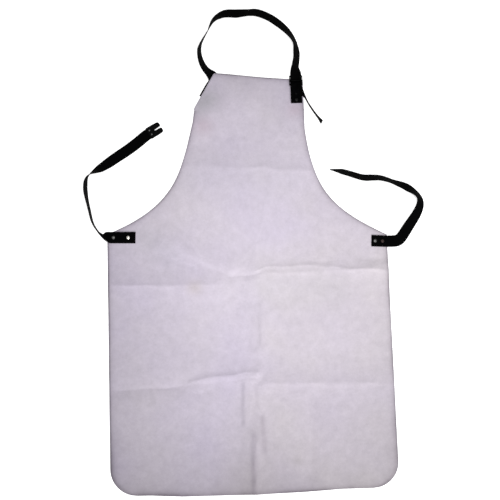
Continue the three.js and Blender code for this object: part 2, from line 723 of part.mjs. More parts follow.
// The forked end fitting, in its own frame: x along the strap, its jaw's mouth at x = 0
function waistClip(rivets) {
  const half = half_webbing + clip_overhang;
  const root = clip_length - clip_slot_depth;
  const slot = clip_slot_width / 2;
  const mouth = clip_mouth_width / 2;
  const flare = clip_length - mouth;
  const outline = new THREE.Shape([
    new THREE.Vector2(0, -half), new THREE.Vector2(root, -half),
    new THREE.Vector2(clip_length - clip_tip_taper, clip_tip_taper / 2 - half),
    new THREE.Vector2(clip_length, clip_tip_taper * 1.5 - half), new THREE.Vector2(clip_length, -mouth),
    new THREE.Vector2(flare, -slot), new THREE.Vector2(root + slot, -slot), new THREE.Vector2(root, -slot / 2),
    new THREE.Vector2(root, slot / 2), new THREE.Vector2(root + slot, slot), new THREE.Vector2(flare, slot),
    new THREE.Vector2(clip_length, mouth), new THREE.Vector2(clip_length, half - clip_tip_taper * 1.5),
    new THREE.Vector2(clip_length - clip_tip_taper, half - clip_tip_taper / 2), new THREE.Vector2(root, half),
    new THREE.Vector2(0, half),
  ]);
  const body = new THREE.ExtrudeGeometry(outline, {
    depth: clip_thickness - 2 * clip_bevel,
    bevelThickness: clip_bevel,
    bevelSize: clip_bevel,
    bevelOffset: -clip_bevel,
    bevelSegments: 1,
  });
  body.translate(0, 0, clip_bevel);
  const jaw_height = webbing_thickness + 2 * gap;
  const jaw = new THREE.BoxGeometry(clip_jaw_depth * 2, half * 4, jaw_height);
  jaw.translate(0, 0, clip_thickness / 2);
  return drilled(solidOf(body).subtract(solidOf(jaw)), rivets, clip_rivet_shank + hole_clearance);
}

// A rivet turned about its own axis: clenched foot at z = 0, shank, and a low domed cap
function rivetGeometry(foot_radius, foot_height, shank_radius, grip, cap_radius, cap_height) {
  const shoulder = foot_height + grip;
  const profile = [
    [0, 0], [foot_radius, 0], [foot_radius, foot_height], [shank_radius, foot_height], [shank_radius, shoulder],
    [cap_radius, shoulder], [cap_radius * 0.93, shoulder + cap_height * 0.5],
    [cap_radius * 0.6, shoulder + cap_height * 0.9], [0, shoulder + cap_height],
  ].map(([r, z]) => new THREE.Vector2(r, z));
  return geometryOf(outward(new THREE.LatheGeometry(profile, rivet_sides).rotateX(Math.PI / 2)));
}

// A solid from a closed geometry, turned right side out where its faces point in
function outward(geometry) {
  const solid = solidOf(geometry);
  if (solid.volume() > 0) return solid;
  const flipped = geometry.toNonIndexed();
  const position = flipped.attributes.position;
  for (let k = 0; k < position.count; k += 3) {
    const a = new THREE.Vector3().fromBufferAttribute(position, k);
    const b = new THREE.Vector3().fromBufferAttribute(position, k + 1);
    position.setXYZ(k, b.x, b.y, b.z);
    position.setXYZ(k + 1, a.x, a.y, a.z);
  }
  return solidOf(flipped);
}

const apron = new THREE.Group();

function addPiece(parent, name, geometry, material) {
  const mesh = new THREE.Mesh(geometry, material);
  mesh.name = name;
  parent.add(mesh);
  return mesh;
}

// The leather and the webbing
const face_rivets = [...left_strap_rivets, ...right_strap_rivets, ...neck_tab_rivets];
const strap_hole = rivet_shank_radius + hole_clearance;
addPiece(apron, 'apron_panel', geometryOf(apronPanel(face_rivets, turned_tab_rivets)), split_leather);
addPiece(apron, 'neck_strap', geometryOf(neckStrap()), black_webbing);
addPiece(apron, 'neck_tab', geometryOf(neckTab()), black_webbing);
addPiece(apron, 'neck_slide', geometryOf(neckSlide()), black_plastic);

// The forked fitting stands at the left strap's end, and its rivets' places are in its own frame
const strap_end = left_stations[left_stations.length - 1].place;
const clip_heading = radians(left_strap[left_strap.length - 1].heading);
const clip_along = new THREE.Vector2(Math.cos(clip_heading), Math.sin(clip_heading));
const clip_seat = clip_jaw_depth - gap;
const clip_mouth = new THREE.Vector2(strap_end.x, strap_end.y).addScaledVector(clip_along, -clip_seat);
const clip_group = new THREE.Group();
clip_group.position.set(clip_mouth.x, clip_mouth.y, strap_end.z - clip_thickness / 2);
clip_group.rotation.z = clip_heading;
apron.add(clip_group);
const clip_rivets = [-1, 1].map((side) => new THREE.Vector2(clip_jaw_depth / 2, side * clip_rivet_spacing / 2));
addPiece(clip_group, 'waist_clip', geometryOf(waistClip(clip_rivets)), black_plastic);
clip_rivets.forEach((place, k) => {
  const geometry = rivetGeometry(
    clip_rivet_shank, clip_rivet_height, clip_rivet_shank, clip_thickness + gap - clip_rivet_height,
    clip_rivet_radius, clip_rivet_height);
  addPiece(clip_group, `clip_rivet_${k + 1}`, geometry, rivet_metal).position.set(place.x, place.y, 0);
});

const clip_drills = clip_rivets.map((place) => clip_mouth.clone()
  .addScaledVector(clip_along, place.x)
  .add(new THREE.Vector2(-clip_along.y, clip_along.x).multiplyScalar(place.y)));
const left_band = drilled(band(left_stations, webbing_thickness), left_strap_rivets, strap_hole);
const right_band = band(pointed(right_stations, right_strap_length), webbing_thickness);
addPiece(apron, 'left_waist_strap',
  geometryOf(drilled(left_band, clip_drills, clip_rivet_shank + hole_clearance)), black_webbing);
addPiece(apron, 'right_waist_strap', geometryOf(drilled(right_band, right_strap_rivets, strap_hole)), black_webbing);

// Rivets through the face: foot under the leather, cap on the webbing. The turned corner's stand cap down.
function addRivets(name, places, grip) {
  const geometry = rivetGeometry(
    rivet_foot_radius, rivet_foot_height, rivet_shank_radius, grip, rivet_cap_radius, rivet_cap_height);
  return places.map((place, k) => {
    const rivet = addPiece(apron, `${name}_${k + 1}`, geometry, rivet_metal);
    rivet.position.set(place.x, place.y, 0);
    return rivet;
  });
}

addRivets('left_waist_rivet', left_strap_rivets, rivet_grip);
addRivets('right_waist_rivet', right_strap_rivets, rivet_grip);
addRivets('neck_right_rivet', neck_tab_rivets, doubled_grip);
for (const rivet of addRivets('neck_left_rivet', turned_tab_rivets, rivet_grip)) {
  rivet.rotation.x = Math.PI;
  rivet.position.z = rivet_foot_height + rivet_grip + rivet_cap_height;
}

// The origin is moved to the middle of the outer box
const box = new THREE.Box3().setFromObject(apron);
const middle = box.getCenter(new THREE.Vector3());
for (const piece of apron.children) {
  piece.position.x -= middle.x;
  piece.position.y -= middle.y;
}

export default apron;
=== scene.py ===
# A leather welding apron laid flat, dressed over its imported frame. The tables below hold millimetres of the
# apron's own drawing, whose origin is the middle of the leather's length.
import math

import bmesh
import bpy
import numpy as np
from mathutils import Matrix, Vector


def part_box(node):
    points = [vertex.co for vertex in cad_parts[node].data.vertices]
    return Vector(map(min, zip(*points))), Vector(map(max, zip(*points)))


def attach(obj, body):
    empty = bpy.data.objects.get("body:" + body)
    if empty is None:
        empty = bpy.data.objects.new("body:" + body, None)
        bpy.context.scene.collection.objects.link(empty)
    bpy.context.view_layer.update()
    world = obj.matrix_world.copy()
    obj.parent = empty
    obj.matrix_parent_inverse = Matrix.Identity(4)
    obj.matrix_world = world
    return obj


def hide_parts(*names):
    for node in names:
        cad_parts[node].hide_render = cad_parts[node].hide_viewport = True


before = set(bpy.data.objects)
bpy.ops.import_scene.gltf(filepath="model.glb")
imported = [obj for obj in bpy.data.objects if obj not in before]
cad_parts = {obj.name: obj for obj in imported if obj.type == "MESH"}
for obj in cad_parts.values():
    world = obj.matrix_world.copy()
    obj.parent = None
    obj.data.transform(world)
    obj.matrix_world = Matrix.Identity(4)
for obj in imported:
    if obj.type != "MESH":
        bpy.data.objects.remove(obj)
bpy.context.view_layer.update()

# The table top and its light. The apron lies on a back-lit white table under an even sky. A soft round lamp
# hangs over the waist, and one wide lamp low beyond the hem makes each crease bright below and dark above.
hem_width = 604.0
apron_length = 911.0
panel_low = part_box("apron_panel")[0]
shift = np.array([panel_low[0] * 1000 + hem_width / 2, panel_low[1] * 1000 + apron_length / 2, 0.0])


def placed(points):
    """Drawn millimetres to packed metres: (point + shift) / 1000."""
    return (np.asarray(points, dtype=float) + shift) / 1000


def new_material(name, roughness):
    """A material with one principled shader, and the tree and shader to work on."""
    material = bpy.data.materials.new(name)
    material.use_nodes = True
    shader = material.node_tree.nodes["Principled BSDF"]
    shader.inputs["Roughness"].default_value = roughness
    return material, material.node_tree, shader


white_top, top_tree, top_shader = new_material("white_table_top", 0.9)
top_shader.inputs["Base Color"].default_value = (0.9, 0.9, 0.9, 1)
top_shader.inputs["Specular IOR Level"].default_value = 0.0
top_shader.inputs["Emission Color"].default_value = (1, 1, 1, 1)
top_shader.inputs["Emission Strength"].default_value = 0.58
table_mesh = bpy.data.meshes.new("table_top")
reach = 6.0
table_mesh.from_pydata(
    [(-reach, -reach, 0), (reach, -reach, 0), (reach, reach, 0), (-reach, reach, 0)], [], [(0, 1, 2, 3)])
table_mesh.materials.append(white_top)
table_top = bpy.data.objects.new("table_top", table_mesh)
bpy.context.collection.objects.link(table_top)
table_top.location.z = -0.0002

sky = bpy.data.worlds.new("white_studio")
sky.use_nodes = True
sky.node_tree.nodes["Background"].inputs["Color"].default_value = (1, 1, 1, 1)
sky.node_tree.nodes["Background"].inputs["Strength"].default_value = 0.45
bpy.context.scene.world = sky

raking_data = bpy.data.lights.new("raking_lamp", "AREA")
raking_data.shape = "RECTANGLE"
raking_data.size = 1.8
raking_data.size_y = 0.7
raking_data.energy = 130
raking_lamp = bpy.data.objects.new("raking_lamp", raking_data)
raking_lamp.location = (1.0, -3.2, 1.9)
raking_lamp.rotation_euler = (math.radians(60), 0, math.radians(17))
bpy.context.collection.objects.link(raking_lamp)

overhead_data = bpy.data.lights.new("overhead_lamp", "SPOT")
overhead_data.energy = 80
overhead_data.shadow_soft_size = 0.3
overhead_data.spot_size = math.radians(54)
overhead_data.spot_blend = 1.0
overhead_lamp = bpy.data.objects.new("overhead_lamp", overhead_data)
overhead_lamp.location = placed([80, 60, 2000])
bpy.context.collection.objects.link(overhead_lamp)

camera_data = bpy.data.cameras.new("camera")
camera_data.sensor_fit = "HORIZONTAL"
camera_data.sensor_width = 36.0
camera_data.lens = 73.33
camera_data.shift_x = -0.001
camera_data.shift_y = 0.001
camera_data.clip_end = 50
camera = bpy.data.objects.new("camera", camera_data)
camera.location = placed([-3.5, -246.5, 2178.6])
camera.rotation_euler = (math.radians(8), 0, math.radians(-1.85))
bpy.context.collection.objects.link(camera)
bpy.context.scene.camera = camera
bpy.context.scene.view_settings.view_transform = "Standard"

# The apron's body is one side of split cowhide, cut with a knife and left raw at its edges. It was folded
# small in its packet, so pressed creases cross it, and the bib's top left corner is turned under its tab.
waist_height = 560.0
armhole_height = 242.0
bib_width = 245.0
bib_offset = 11.5
right_drop = 20.0
hem_corner_radius = 56.0
hem_rise = 6.0
hem_line = [(-1, 1), (-0.72, 0.8), (-0.5, 0.1), (0.05, 0), (0.35, 0.4), (0.6, 0.95), (1, 0.9)]
leather_thickness = 1.6
half_leather = leather_thickness / 2
half_hem = hem_width / 2
hem_y = -apron_length / 2
top_y = apron_length / 2
bib_left = bib_offset - bib_width / 2
bib_right = bib_offset + bib_width / 2
left_waist = np.array([-half_hem, hem_y + waist_height])
right_waist = np.array([half_hem, hem_y + waist_height - right_drop])
left_armhole_top = np.array([bib_left, left_waist[1] + armhole_height])
right_armhole_top = np.array([bib_right, right_waist[1] + armhole_height])
right_bib_corner = np.array([bib_right, top_y - right_drop])
turn_top = np.array([bib_left + 52, top_y])
turn_foot = np.array([bib_left + 4, top_y - 83])
turn_up = (turn_top - turn_foot) / np.linalg.norm(turn_top - turn_foot)
turn_out = np.array([-turn_up[1], turn_up[0]])
turn_length = np.linalg.norm(turn_top - turn_foot)
turn_depth = 54.0
flap_peak = 0.3

# Heights of what is stacked on and under the leather: rivet feet, the leather, a webbing tab, rivet caps
webbing_thickness = 1.6
half_webbing = 12.5
webbing_gap = 0.3
seat_height = 1.0
face_height = seat_height + leather_thickness + webbing_gap
turned_tab_base = 1.5
turned_flap_middle = turned_tab_base + webbing_thickness + webbing_gap + half_leather
turned_height = turned_flap_middle + half_leather + seat_height + webbing_gap + 1.5
turn_radius = (turned_height + half_leather - turned_flap_middle) / 2

# Broad folds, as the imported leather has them: kind, ends as shares of the width and length, height, spread
broad_folds = [
    ("ridge", (-0.22, 0.275), (0.22, 0.255), 3.0, 72),
    ("ridge", (-0.29, 0.096), (-0.05, 0.022), 3.3, 56),
    ("ridge", (0.05, 0.01), (0.47, 0.012), 4.8, 80),
    ("ridge", (-0.46, -0.01), (-0.12, -0.014), 4.4, 72),
    ("valley", (-0.47, -0.254), (-0.18, -0.25), 2.0, 104),
    ("ridge", (-0.18, -0.238), (0.02, -0.228), 3.8, 64),
    ("ridge", (0.05, -0.246), (0.43, -0.253), 3.6, 72),
    ("ridge", (0.045, -0.09), (0.035, -0.165), 2.8, 48),
    ("ridge", (0.0, -0.37), (-0.003, -0.5), 4.4, 50),
    ("valley", (0.21, -0.28), (0.2, -0.46), 2.5, 88),
]

# Pressed lines on top of them, in millimetres: height, below 0 for a groove, width, and the line's places
pressed_lines = [
    (0.5, 4, [(-1, 240), (30, 241), (56, 247)]),
    (0.7, 4, [(12, 244), (67, 235), (143, 229)]),
    (-0.5, 5, [(-36, 230), (1, 229), (38, 236)]),
    (0.9, 4.5, [(-159, 71), (-123, 54), (-87, 34), (-55, 22), (-38, 17)]),
    (0.7, 4, [(-156, 49), (-111, 28), (-66, 3)]),
    (-1.6, 6, [(-40, 6), (-6, 3), (26, 11)]),
    (0.4, 5, [(-39, -9), (-6, -8), (30, 0)]),
    (1.5, 5, [(22, 16), (44, 22), (91, 23), (156, 21), (220, 12), (302, 7)]),
    (-0.5, 4, [(139, 30), (182, 30)]),
    (0.5, 5, [(58, 9), (112, 5), (166, 5)]),
    (0.9, 4.5, [(-292, -7), (-232, -9), (-161, -16)]),
    (-0.6, 4, [(-79, -1), (-80, -31)]),
    (0.6, 4, [(-67, -6), (-70, -32)]),
    (1.2, 5, [(8, -88), (20, -103), (24, -131), (16, -156), (24, -182)]),
    (-0.5, 5, [(-282, -232), (-236, -229), (-172, -229), (-109, -222)]),
    (1.6, 4.5, [(-130, -217), (-77, -210), (-23, -204), (15, -201)]),
    (-0.5, 4, [(-109, -226), (-56, -219), (15, -213)]),
    (0.6, 4, [(-3, -229), (15, -203)]),
    (1.9, 5, [(-14, -222), (-17, -260), (-16, -312)]),
    (-1.7, 5, [(1, -225), (10, -282), (23, -324), (22, -365)]),
    (3.0, 6, [(6, -344), (3, -385), (3, -453)]),
    (0.7, 5, [(23, -228), (103, -229), (198, -234), (283, -234)]),
    (0.4, 5, [(14, -238), (60, -244), (102, -250)]),
    (0.4, 4, [(-97, -403), (-100, -450)]),
    (0.4, 4, [(-69, -404), (-69, -449)]),
    (0.4, 6, [(133, -317), (129, -379), (132, -441)]),
]


def smooth_share(value, low, high):
    """0 below low, 1 above high and 3t^2 - 2t^3 between, t being the share of the way."""
    t = np.clip((value - low) / (high - low), 0, 1)
    return t * t * (3 - 2 * t)


def distance_to_stretch(points, start, end):
    """Distance from each point to a straight stretch: to its foot on the line, held between the two ends."""
    along = np.subtract(end, start).astype(float)
    share = np.clip((points - start) @ along / (along @ along), 0, 1)
    return np.linalg.norm(points - (start + share[..., None] * along), axis=-1)


def fold_lift(points):
    """Height of the creases: the highest broad fold, plus every pressed line.

    With q the distance over the spread, a ridge is height (1 - q)^2 and a valley's two swells are
    height 27/4 q (1 - q)^2. A pressed line adds height e^(-distance / width), its places moved by waves of
    1.5 mm so that it wanders. Slow waves add up to 1 mm.
    """
    lift = np.zeros(points.shape[:-1])
    size = np.array([hem_width, apron_length])
    for kind, start, end, height, spread in broad_folds:
        q = np.clip(distance_to_stretch(points, start * size, end * size) / spread, 0, 1)
        shape = (1 - q) ** 2 if kind == "ridge" else 27 / 4 * q * (1 - q) ** 2
        lift = np.maximum(lift, height * shape)
    x, y = points[..., 0], points[..., 1]
    sway = 1.5 * np.stack([np.sin(y / 9 + np.sin(y / 23)), np.sin(x / 11 + np.sin(x / 29))], axis=-1)
    for height, width, places in pressed_lines:
        near = np.min([distance_to_stretch(points + sway, a, b) for a, b in zip(places, places[1:])], axis=0)
        lift = lift + height * np.exp(-near / width)
    waves = np.sin(x / 41 + 1.4 * np.sin(y / 83)) + np.sin(y / 37 + 1.7 * np.sin(x / 71 + 2))
    return lift + 0.25 * (2 + waves)


def turned_share(points):
    """1 over the turned flap's triangle, falling to 0 at 90 mm from it."""
    tip = turn_top + (turn_foot - turn_top) * flap_peak - turn_out * turn_depth
    corners = [turn_top, turn_foot, tip]
    sides = [(a, b) for a, b in zip(corners, corners[1:] + corners[:1])]
    inside = np.ones(points.shape[:-1], dtype=bool)
    for a, b in sides:
        side, reach_in = b - a, points - a
        inside &= side[0] * reach_in[..., 1] - side[1] * reach_in[..., 0] >= 0
    away = np.min([distance_to_stretch(points, a, b) for a, b in sides], axis=0)
    return np.where(inside, 1.0, 1 - smooth_share(away, 3.2, 90))


# Where the webbing tabs start on the leather, and the bars of the slide above the bib's right corner
left_tab_start = left_waist + (61, -9.5)
right_tab_start = right_waist - (34, 12.4)
neck_x = bib_right - 15.5
slide_bar = 2.6
slide_window = 7.0
top_bar_y = right_bib_corner[1] + 8
middle_bar_y = top_bar_y - slide_bar - slide_window
tab_bar_y = middle_bar_y - slide_bar - slide_window
neck_tab_foot = tab_bar_y - 41
seats = [
    (left_tab_start, np.array([left_waist[0], left_tab_start[1]])),
    (right_tab_start, np.array([right_waist[0], right_tab_start[1]])),
    (np.array([neck_x, neck_tab_foot]), np.array([neck_x, right_bib_corner[1]])),
]


def leather_lift(points):
    """Height of the leather's underside: its folds, raised over the turned corner, level under each tab."""
    turned = turned_share(points)
    lift = fold_lift(points) * (1 - turned) + turned_height * turned
    for start, end in seats:
        away = distance_to_stretch(points, start, end) - half_webbing
        level = 1 - smooth_share(away, 22, 45)
        lift = lift * (1 - level) + seat_height * level
    return lift


def gathered(start, end, places, fine, coarse):
    """Shares of the way from start to end: fine apart near each place and coarse apart elsewhere.

    They are where the running sum of 1 / spacing passes each whole number.
    """
    samples = 4000
    way = np.linspace(start, end, samples)
    near = np.max([
        1 - smooth_share(np.abs(way - middle), reach, reach + 25) for middle, reach in places], axis=0)
    steps = np.cumsum(abs(end - start) / samples / (coarse + (fine - coarse) * near))
    count = int(steps[-1])
    passed = (steps - steps[0]) / (steps[-1] - steps[0])
    return np.interp(np.arange(count) / count, passed, np.linspace(0, 1, samples))


def stretch(start, end, shares):
    """Points at the given shares of the way from start to end."""
    return start + (np.subtract(end, start)) * shares[:, None]


def curve_points(a, b, c, d, count):
    """Points at even distances on a(1-t)^3 + 3b t(1-t)^2 + 3c t^2(1-t) + d t^3, the last one left out."""
    t = np.linspace(0, 1, 400)[:, None]
    dense = a * (1 - t) ** 3 + 3 * b * t * (1 - t) ** 2 + 3 * c * t ** 2 * (1 - t) + d * t ** 3
    run = np.append(0, np.cumsum(np.linalg.norm(np.diff(dense, axis=0), axis=1)))
    wanted = run[-1] * np.arange(count) / count
    return np.column_stack([np.interp(wanted, run, dense[:, 0]), np.interp(wanted, run, dense[:, 1])])


def side_edge(side, waist, armhole_top, waist_handle, bib_handle, bib_points):
    """A side edge from hem to bib: a round corner, the straight skirt, the armhole's curve and the bib."""
    angle = math.pi / 2 * (np.arange(14) / 14) ** 0.75
    corner = np.array([side * (half_hem - hem_corner_radius), hem_y + hem_corner_radius])
    arc = corner + hem_corner_radius * np.column_stack([side * np.sin(angle), -np.cos(angle)])
    reach_up = armhole_top - waist
    armhole = curve_points(
        waist, waist + reach_up * waist_handle, armhole_top - reach_up * bib_handle, armhole_top, 88)
    return np.vstack([arc, stretch((side * half_hem, corner[1]), waist, skirt_shares), armhole, bib_points])


# Rows are close along the level creases, and columns along the upright ones
skirt_shares = gathered(hem_y + hem_corner_radius, left_waist[1], [(-222, 22), (20, 38)], 2.2, 8)
column_shares = np.append(gathered(-half_hem, half_hem, [(2, 26)], 2.2, 5.2), 1)
fold_steps = 30
fold_shares = np.arange(fold_steps) / fold_steps
left_bib_shares = np.arange(16) / 16
right_bib_shares = np.arange(46) / 46
left_bib = np.vstack([
    stretch(left_armhole_top, turn_foot, left_bib_shares),
    stretch(turn_foot, turn_top, fold_shares),
    [turn_top]])
left_edge = side_edge(-1, left_waist, left_armhole_top, (0.83, 0.245), (0.15, 0.42), left_bib)
right_bib = np.vstack([stretch(right_armhole_top, right_bib_corner, right_bib_shares), [right_bib_corner]])
right_edge = side_edge(1, right_waist, right_armhole_top, (0.67, 0.24), (0.08, 0.59), right_bib)
panel_rows = len(left_edge)
panel_columns = len(column_shares)
fold_row = panel_rows - fold_steps - 1

across = column_shares[None, :, None]
level_places = left_edge[:, None, :] * (1 - across) + right_edge[:, None, :] * across
hem_table = np.array(hem_line, dtype=float)
rise = hem_rise * np.interp(level_places[..., 0] / half_hem, hem_table[:, 0], hem_table[:, 1])
rise = rise * np.clip(1 - (level_places[..., 1] - hem_y) / 160, 0, 1)
panel_places = level_places + np.stack([np.zeros(rise.shape), rise], axis=-1)
panel_points = np.dstack([panel_places, leather_lift(panel_places) + half_leather])

# The flap bends round under the fold, and its width runs out to nothing at both ends of the fold
flap_columns = 21
fold_edge = left_edge[fold_row:]
down = np.linalg.norm(fold_edge - turn_top, axis=1) / turn_length
flap_width = turn_depth * np.clip(np.minimum(down / flap_peak, (1 - down) / (1 - flap_peak)), 0, 1)
run = flap_width[:, None] * (np.arange(flap_columns) / (flap_columns - 1)) ** 1.6
bend = np.minimum(run / turn_radius, math.pi)
outward = turn_radius * np.sin(bend) - np.maximum(0, run - math.pi * turn_radius)
flap_places = fold_edge[:, None, :] + outward[..., None] * turn_out
flap_height = turned_height + half_leather - turn_radius * (1 - np.cos(bend))
flap_points = np.dstack([flap_places, flap_height])


def grid_faces(rows, columns, first=0):
    """Four-cornered faces of a grid whose points are numbered row by row from first."""
    corner = first + np.arange(rows - 1)[:, None] * columns + np.arange(columns - 1)
    return np.stack([corner, corner + 1, corner + columns + 1, corner + columns], axis=-1).reshape(-1, 4)


def new_piece(name, points, faces, material):
    """A smooth-shaded mesh object from drawn points and faces, at the origin with its place in its mesh."""
    mesh = bpy.data.meshes.new(name)
    mesh.from_pydata(placed(points).tolist(), [], faces)
    mesh.materials.append(material)
    mesh.shade_smooth()
    piece = bpy.data.objects.new(name, mesh)
    bpy.context.collection.objects.link(piece)
    return piece


def maths(tree, operation, first, second=0.0):
    """One Math node, and its output. Each value is a number or another node's output."""
    node = tree.nodes.new("ShaderNodeMath")
    node.operation = operation
    for socket, value in zip(node.inputs, (first, second)):
        if isinstance(value, bpy.types.NodeSocket):
            tree.links.new(value, socket)
        else:
            socket.default_value = value
    return node.outputs[0]


def noise(tree, coordinates, scale, detail, roughness=0.5):
    """A Noise node's value output, scale in turns to a metre."""
    node = tree.nodes.new("ShaderNodeTexNoise")
    node.inputs["Scale"].default_value = scale
    node.inputs["Detail"].default_value = detail
    node.inputs["Roughness"].default_value = roughness
    tree.links.new(coordinates, node.inputs["Vector"])
    return node.outputs["Fac"]


def ramp(tree, value, stops):
    """A Color Ramp node's colour output, from (position, grey or colour) stops."""
    node = tree.nodes.new("ShaderNodeValToRGB")
    elements = node.color_ramp.elements
    while len(elements) < len(stops):
        elements.new(0.5)
    for element, (position, colour) in zip(elements, stops):
        element.position = position
        element.color = (colour, colour, colour, 1) if isinstance(colour, float) else (*colour, 1)
    tree.links.new(value, node.inputs["Fac"])
    return node.outputs["Color"]


def mix(tree, kind, share, first, second):
    """A colour Mix node of the given kind, and its output."""
    node = tree.nodes.new("ShaderNodeMix")
    node.data_type = "RGBA"
    node.blend_type = kind
    for name, value in (("Factor", share), ("A", first), ("B", second)):
        socket = next(s for s in node.inputs if s.name == name and s.enabled)
        if isinstance(value, bpy.types.NodeSocket):
            tree.links.new(value, socket)
        else:
            socket.default_value = value
    return next(s for s in node.outputs if s.enabled)


def bumped(tree, shader, height, distance, strength):
    """A Bump node into the shader's normal, distance in metres."""
    node = tree.nodes.new("ShaderNodeBump")
    node.inputs["Distance"].default_value = distance
    node.inputs["Strength"].default_value = strength
    tree.links.new(height, node.inputs["Height"])
    tree.links.new(node.outputs["Normal"], shader.inputs["Normal"])


split_leather, hide, hide_shader = new_material("split_leather", 0.95)
hide_shader.inputs["Specular IOR Level"].default_value = 0.15
hide_shader.inputs["Sheen Weight"].default_value = 0.12
hide_shader.inputs["Sheen Roughness"].default_value = 0.6
position = hide.nodes.new("ShaderNodeTexCoord").outputs["Object"]
# A spherical gradient darkens the hide away from a bright centre over the waist: a painted pool of light, the
# lamp's falloff painted into the colour.
bright_place = placed([84, 38, 0])
bright_width, bright_length = 0.662, 0.739
spread = hide.nodes.new("ShaderNodeMapping")
spread.inputs["Scale"].default_value = (1 / bright_width, 1 / bright_length, 0)
spread.inputs["Location"].default_value = (
    -bright_place[0] / bright_width, -bright_place[1] / bright_length, 0)
hide.links.new(position, spread.inputs["Vector"])
round_fade = hide.nodes.new("ShaderNodeTexGradient")
round_fade.gradient_type = "SPHERICAL"
hide.links.new(spread.outputs["Vector"], round_fade.inputs["Vector"])
painted_light_falloff = ramp(
    hide, round_fade.outputs["Fac"], [(0.1, 0.53), (0.3, 0.65), (0.5, 0.78), (0.7, 0.89), (1.0, 0.97)])
cloud = ramp(hide, noise(hide, position, 5, 3), [(0.3, (0.56, 0.507, 0.615)), (0.7, (0.596, 0.547, 0.612))])
mottle = ramp(hide, noise(hide, position, 55, 5, 0.6), [(0.25, 0.92), (0.75, 1.06)])
fine_mottle = ramp(hide, noise(hide, position, 190, 4, 0.7), [(0.25, 0.945), (0.75, 1.055)])
nap = ramp(hide, noise(hide, position, 900, 3, 0.7), [(0.3, 0.94), (0.7, 1.04)])
colour = mix(hide, "MULTIPLY", 1.0, mix(hide, "MULTIPLY", 1.0, cloud, painted_light_falloff), mottle)
colour = mix(hide, "MULTIPLY", 1.0, mix(hide, "MULTIPLY", 1.0, colour, fine_mottle), nap)

# The hide is a cool violet grey at its left and creamier at its right: the cream comes in over 90 mm past a
# boundary that leans and that slow noise makes uneven
boundary = placed([56, 0, 0])
boundary_lean = 0.31
position_parts = hide.nodes.new("ShaderNodeSeparateXYZ")
hide.links.new(position, position_parts.inputs["Vector"])
leaning = maths(hide, "MULTIPLY", position_parts.outputs["Y"], -boundary_lean)
past = maths(hide, "ADD", position_parts.outputs["X"], leaning)
past = maths(hide, "MULTIPLY", maths(hide, "ADD", past, boundary_lean * boundary[1] - boundary[0]), 11.0)
past = maths(hide, "ADD", past, maths(hide, "MULTIPLY", noise(hide, position, 9, 3), 2.0))
cream = ramp(hide, maths(hide, "ADD", past, -0.6), [(0.0, 0.0), (1.0, 1.0)])
colour = mix(hide, "MULTIPLY", cream, colour, (0.985, 0.988, 0.952, 1))
# This attribute carries the stains and also painted shade along the creases and the hem.
stain_and_shade_colour = hide.nodes.new("ShaderNodeAttribute")
stain_and_shade_colour.attribute_name = "stains_and_painted_shade"
colour = mix(hide, "MULTIPLY", 1.0, colour, stain_and_shade_colour.outputs["Color"])
# The hide is darkened near its cut edges, unevenly by slow noise: painted edge shade.
border = hide.nodes.new("ShaderNodeAttribute")
border.attribute_name = "border"
painted_edge_shade_share = maths(hide, "MULTIPLY", border.outputs["Fac"],
                ramp(hide, noise(hide, position, 14, 2), [(0.35, 0.55), (0.6, 1.0)]))
colour = mix(hide, "MULTIPLY", painted_edge_shade_share, colour, (0.42, 0.4, 0.42, 1))
hide.links.new(colour, hide_shader.inputs["Base Color"])
fibres = maths(hide, "ADD", maths(hide, "MULTIPLY", noise(hide, position, 60, 6, 0.65), 2.0),
               noise(hide, position, 1100, 4, 0.7))
bumped(hide, hide_shader, fibres, 0.0006, 0.5)

cut_edge, edge_tree, edge_shader = new_material("cut_leather_edge", 1.0)
edge_shader.inputs["Base Color"].default_value = (0.2, 0.185, 0.21, 1)
edge_shader.inputs["Specular IOR Level"].default_value = 0.1

panel_count = panel_rows * panel_columns
leather_faces = grid_faces(panel_rows, panel_columns).tolist()
leather_faces += grid_faces(panel_rows - fold_row, flap_columns, panel_count)[:, ::-1].tolist()
leather_points = np.vstack([panel_points.reshape(-1, 3), flap_points.reshape(-1, 3)])
leather = new_piece("leather_body", leather_points, leather_faces, split_leather)
leather.data.materials.append(cut_edge)

# How near each point is to a cut edge, for painted edge shade: e^(-distance / 4 mm), and towards the hem,
# where the painted shade reaches further in, also 0.55 e^(-distance / 9 mm). The fold is no cut edge.
row_step = np.gradient(left_edge, axis=0)
left_lean = np.abs(row_step[:, 1]) / np.linalg.norm(row_step, axis=1)
row_step = np.gradient(right_edge, axis=0)
right_lean = np.abs(row_step[:, 1]) / np.linalg.norm(row_step, axis=1)
x, y = level_places[..., 0], level_places[..., 1]
to_left = (x - left_edge[:, :1]) * left_lean[:, None]
to_left[fold_row:] = half_hem
to_right = (right_edge[:, :1] - x) * right_lean[:, None]
to_top = np.broadcast_to(np.arange(panel_rows)[::-1, None] * 2.6, x.shape)
nearest = np.maximum(np.min([to_left, to_right, y - hem_y, to_top], axis=0), 0)
hem_edge_shade = (1 - smooth_share(y - hem_y, 60, 260)) * (1 - 0.5 * smooth_share(x, -60, 200))
nearness = np.minimum(np.exp(-nearest / 4) + 0.55 * hem_edge_shade * np.exp(-nearest / 9), 1)
nearness = np.append(nearness.ravel(), np.zeros(len(flap_points.reshape(-1, 3))))
leather.data.attributes.new("border", "FLOAT", "POINT").data.foreach_set("value", nearness)
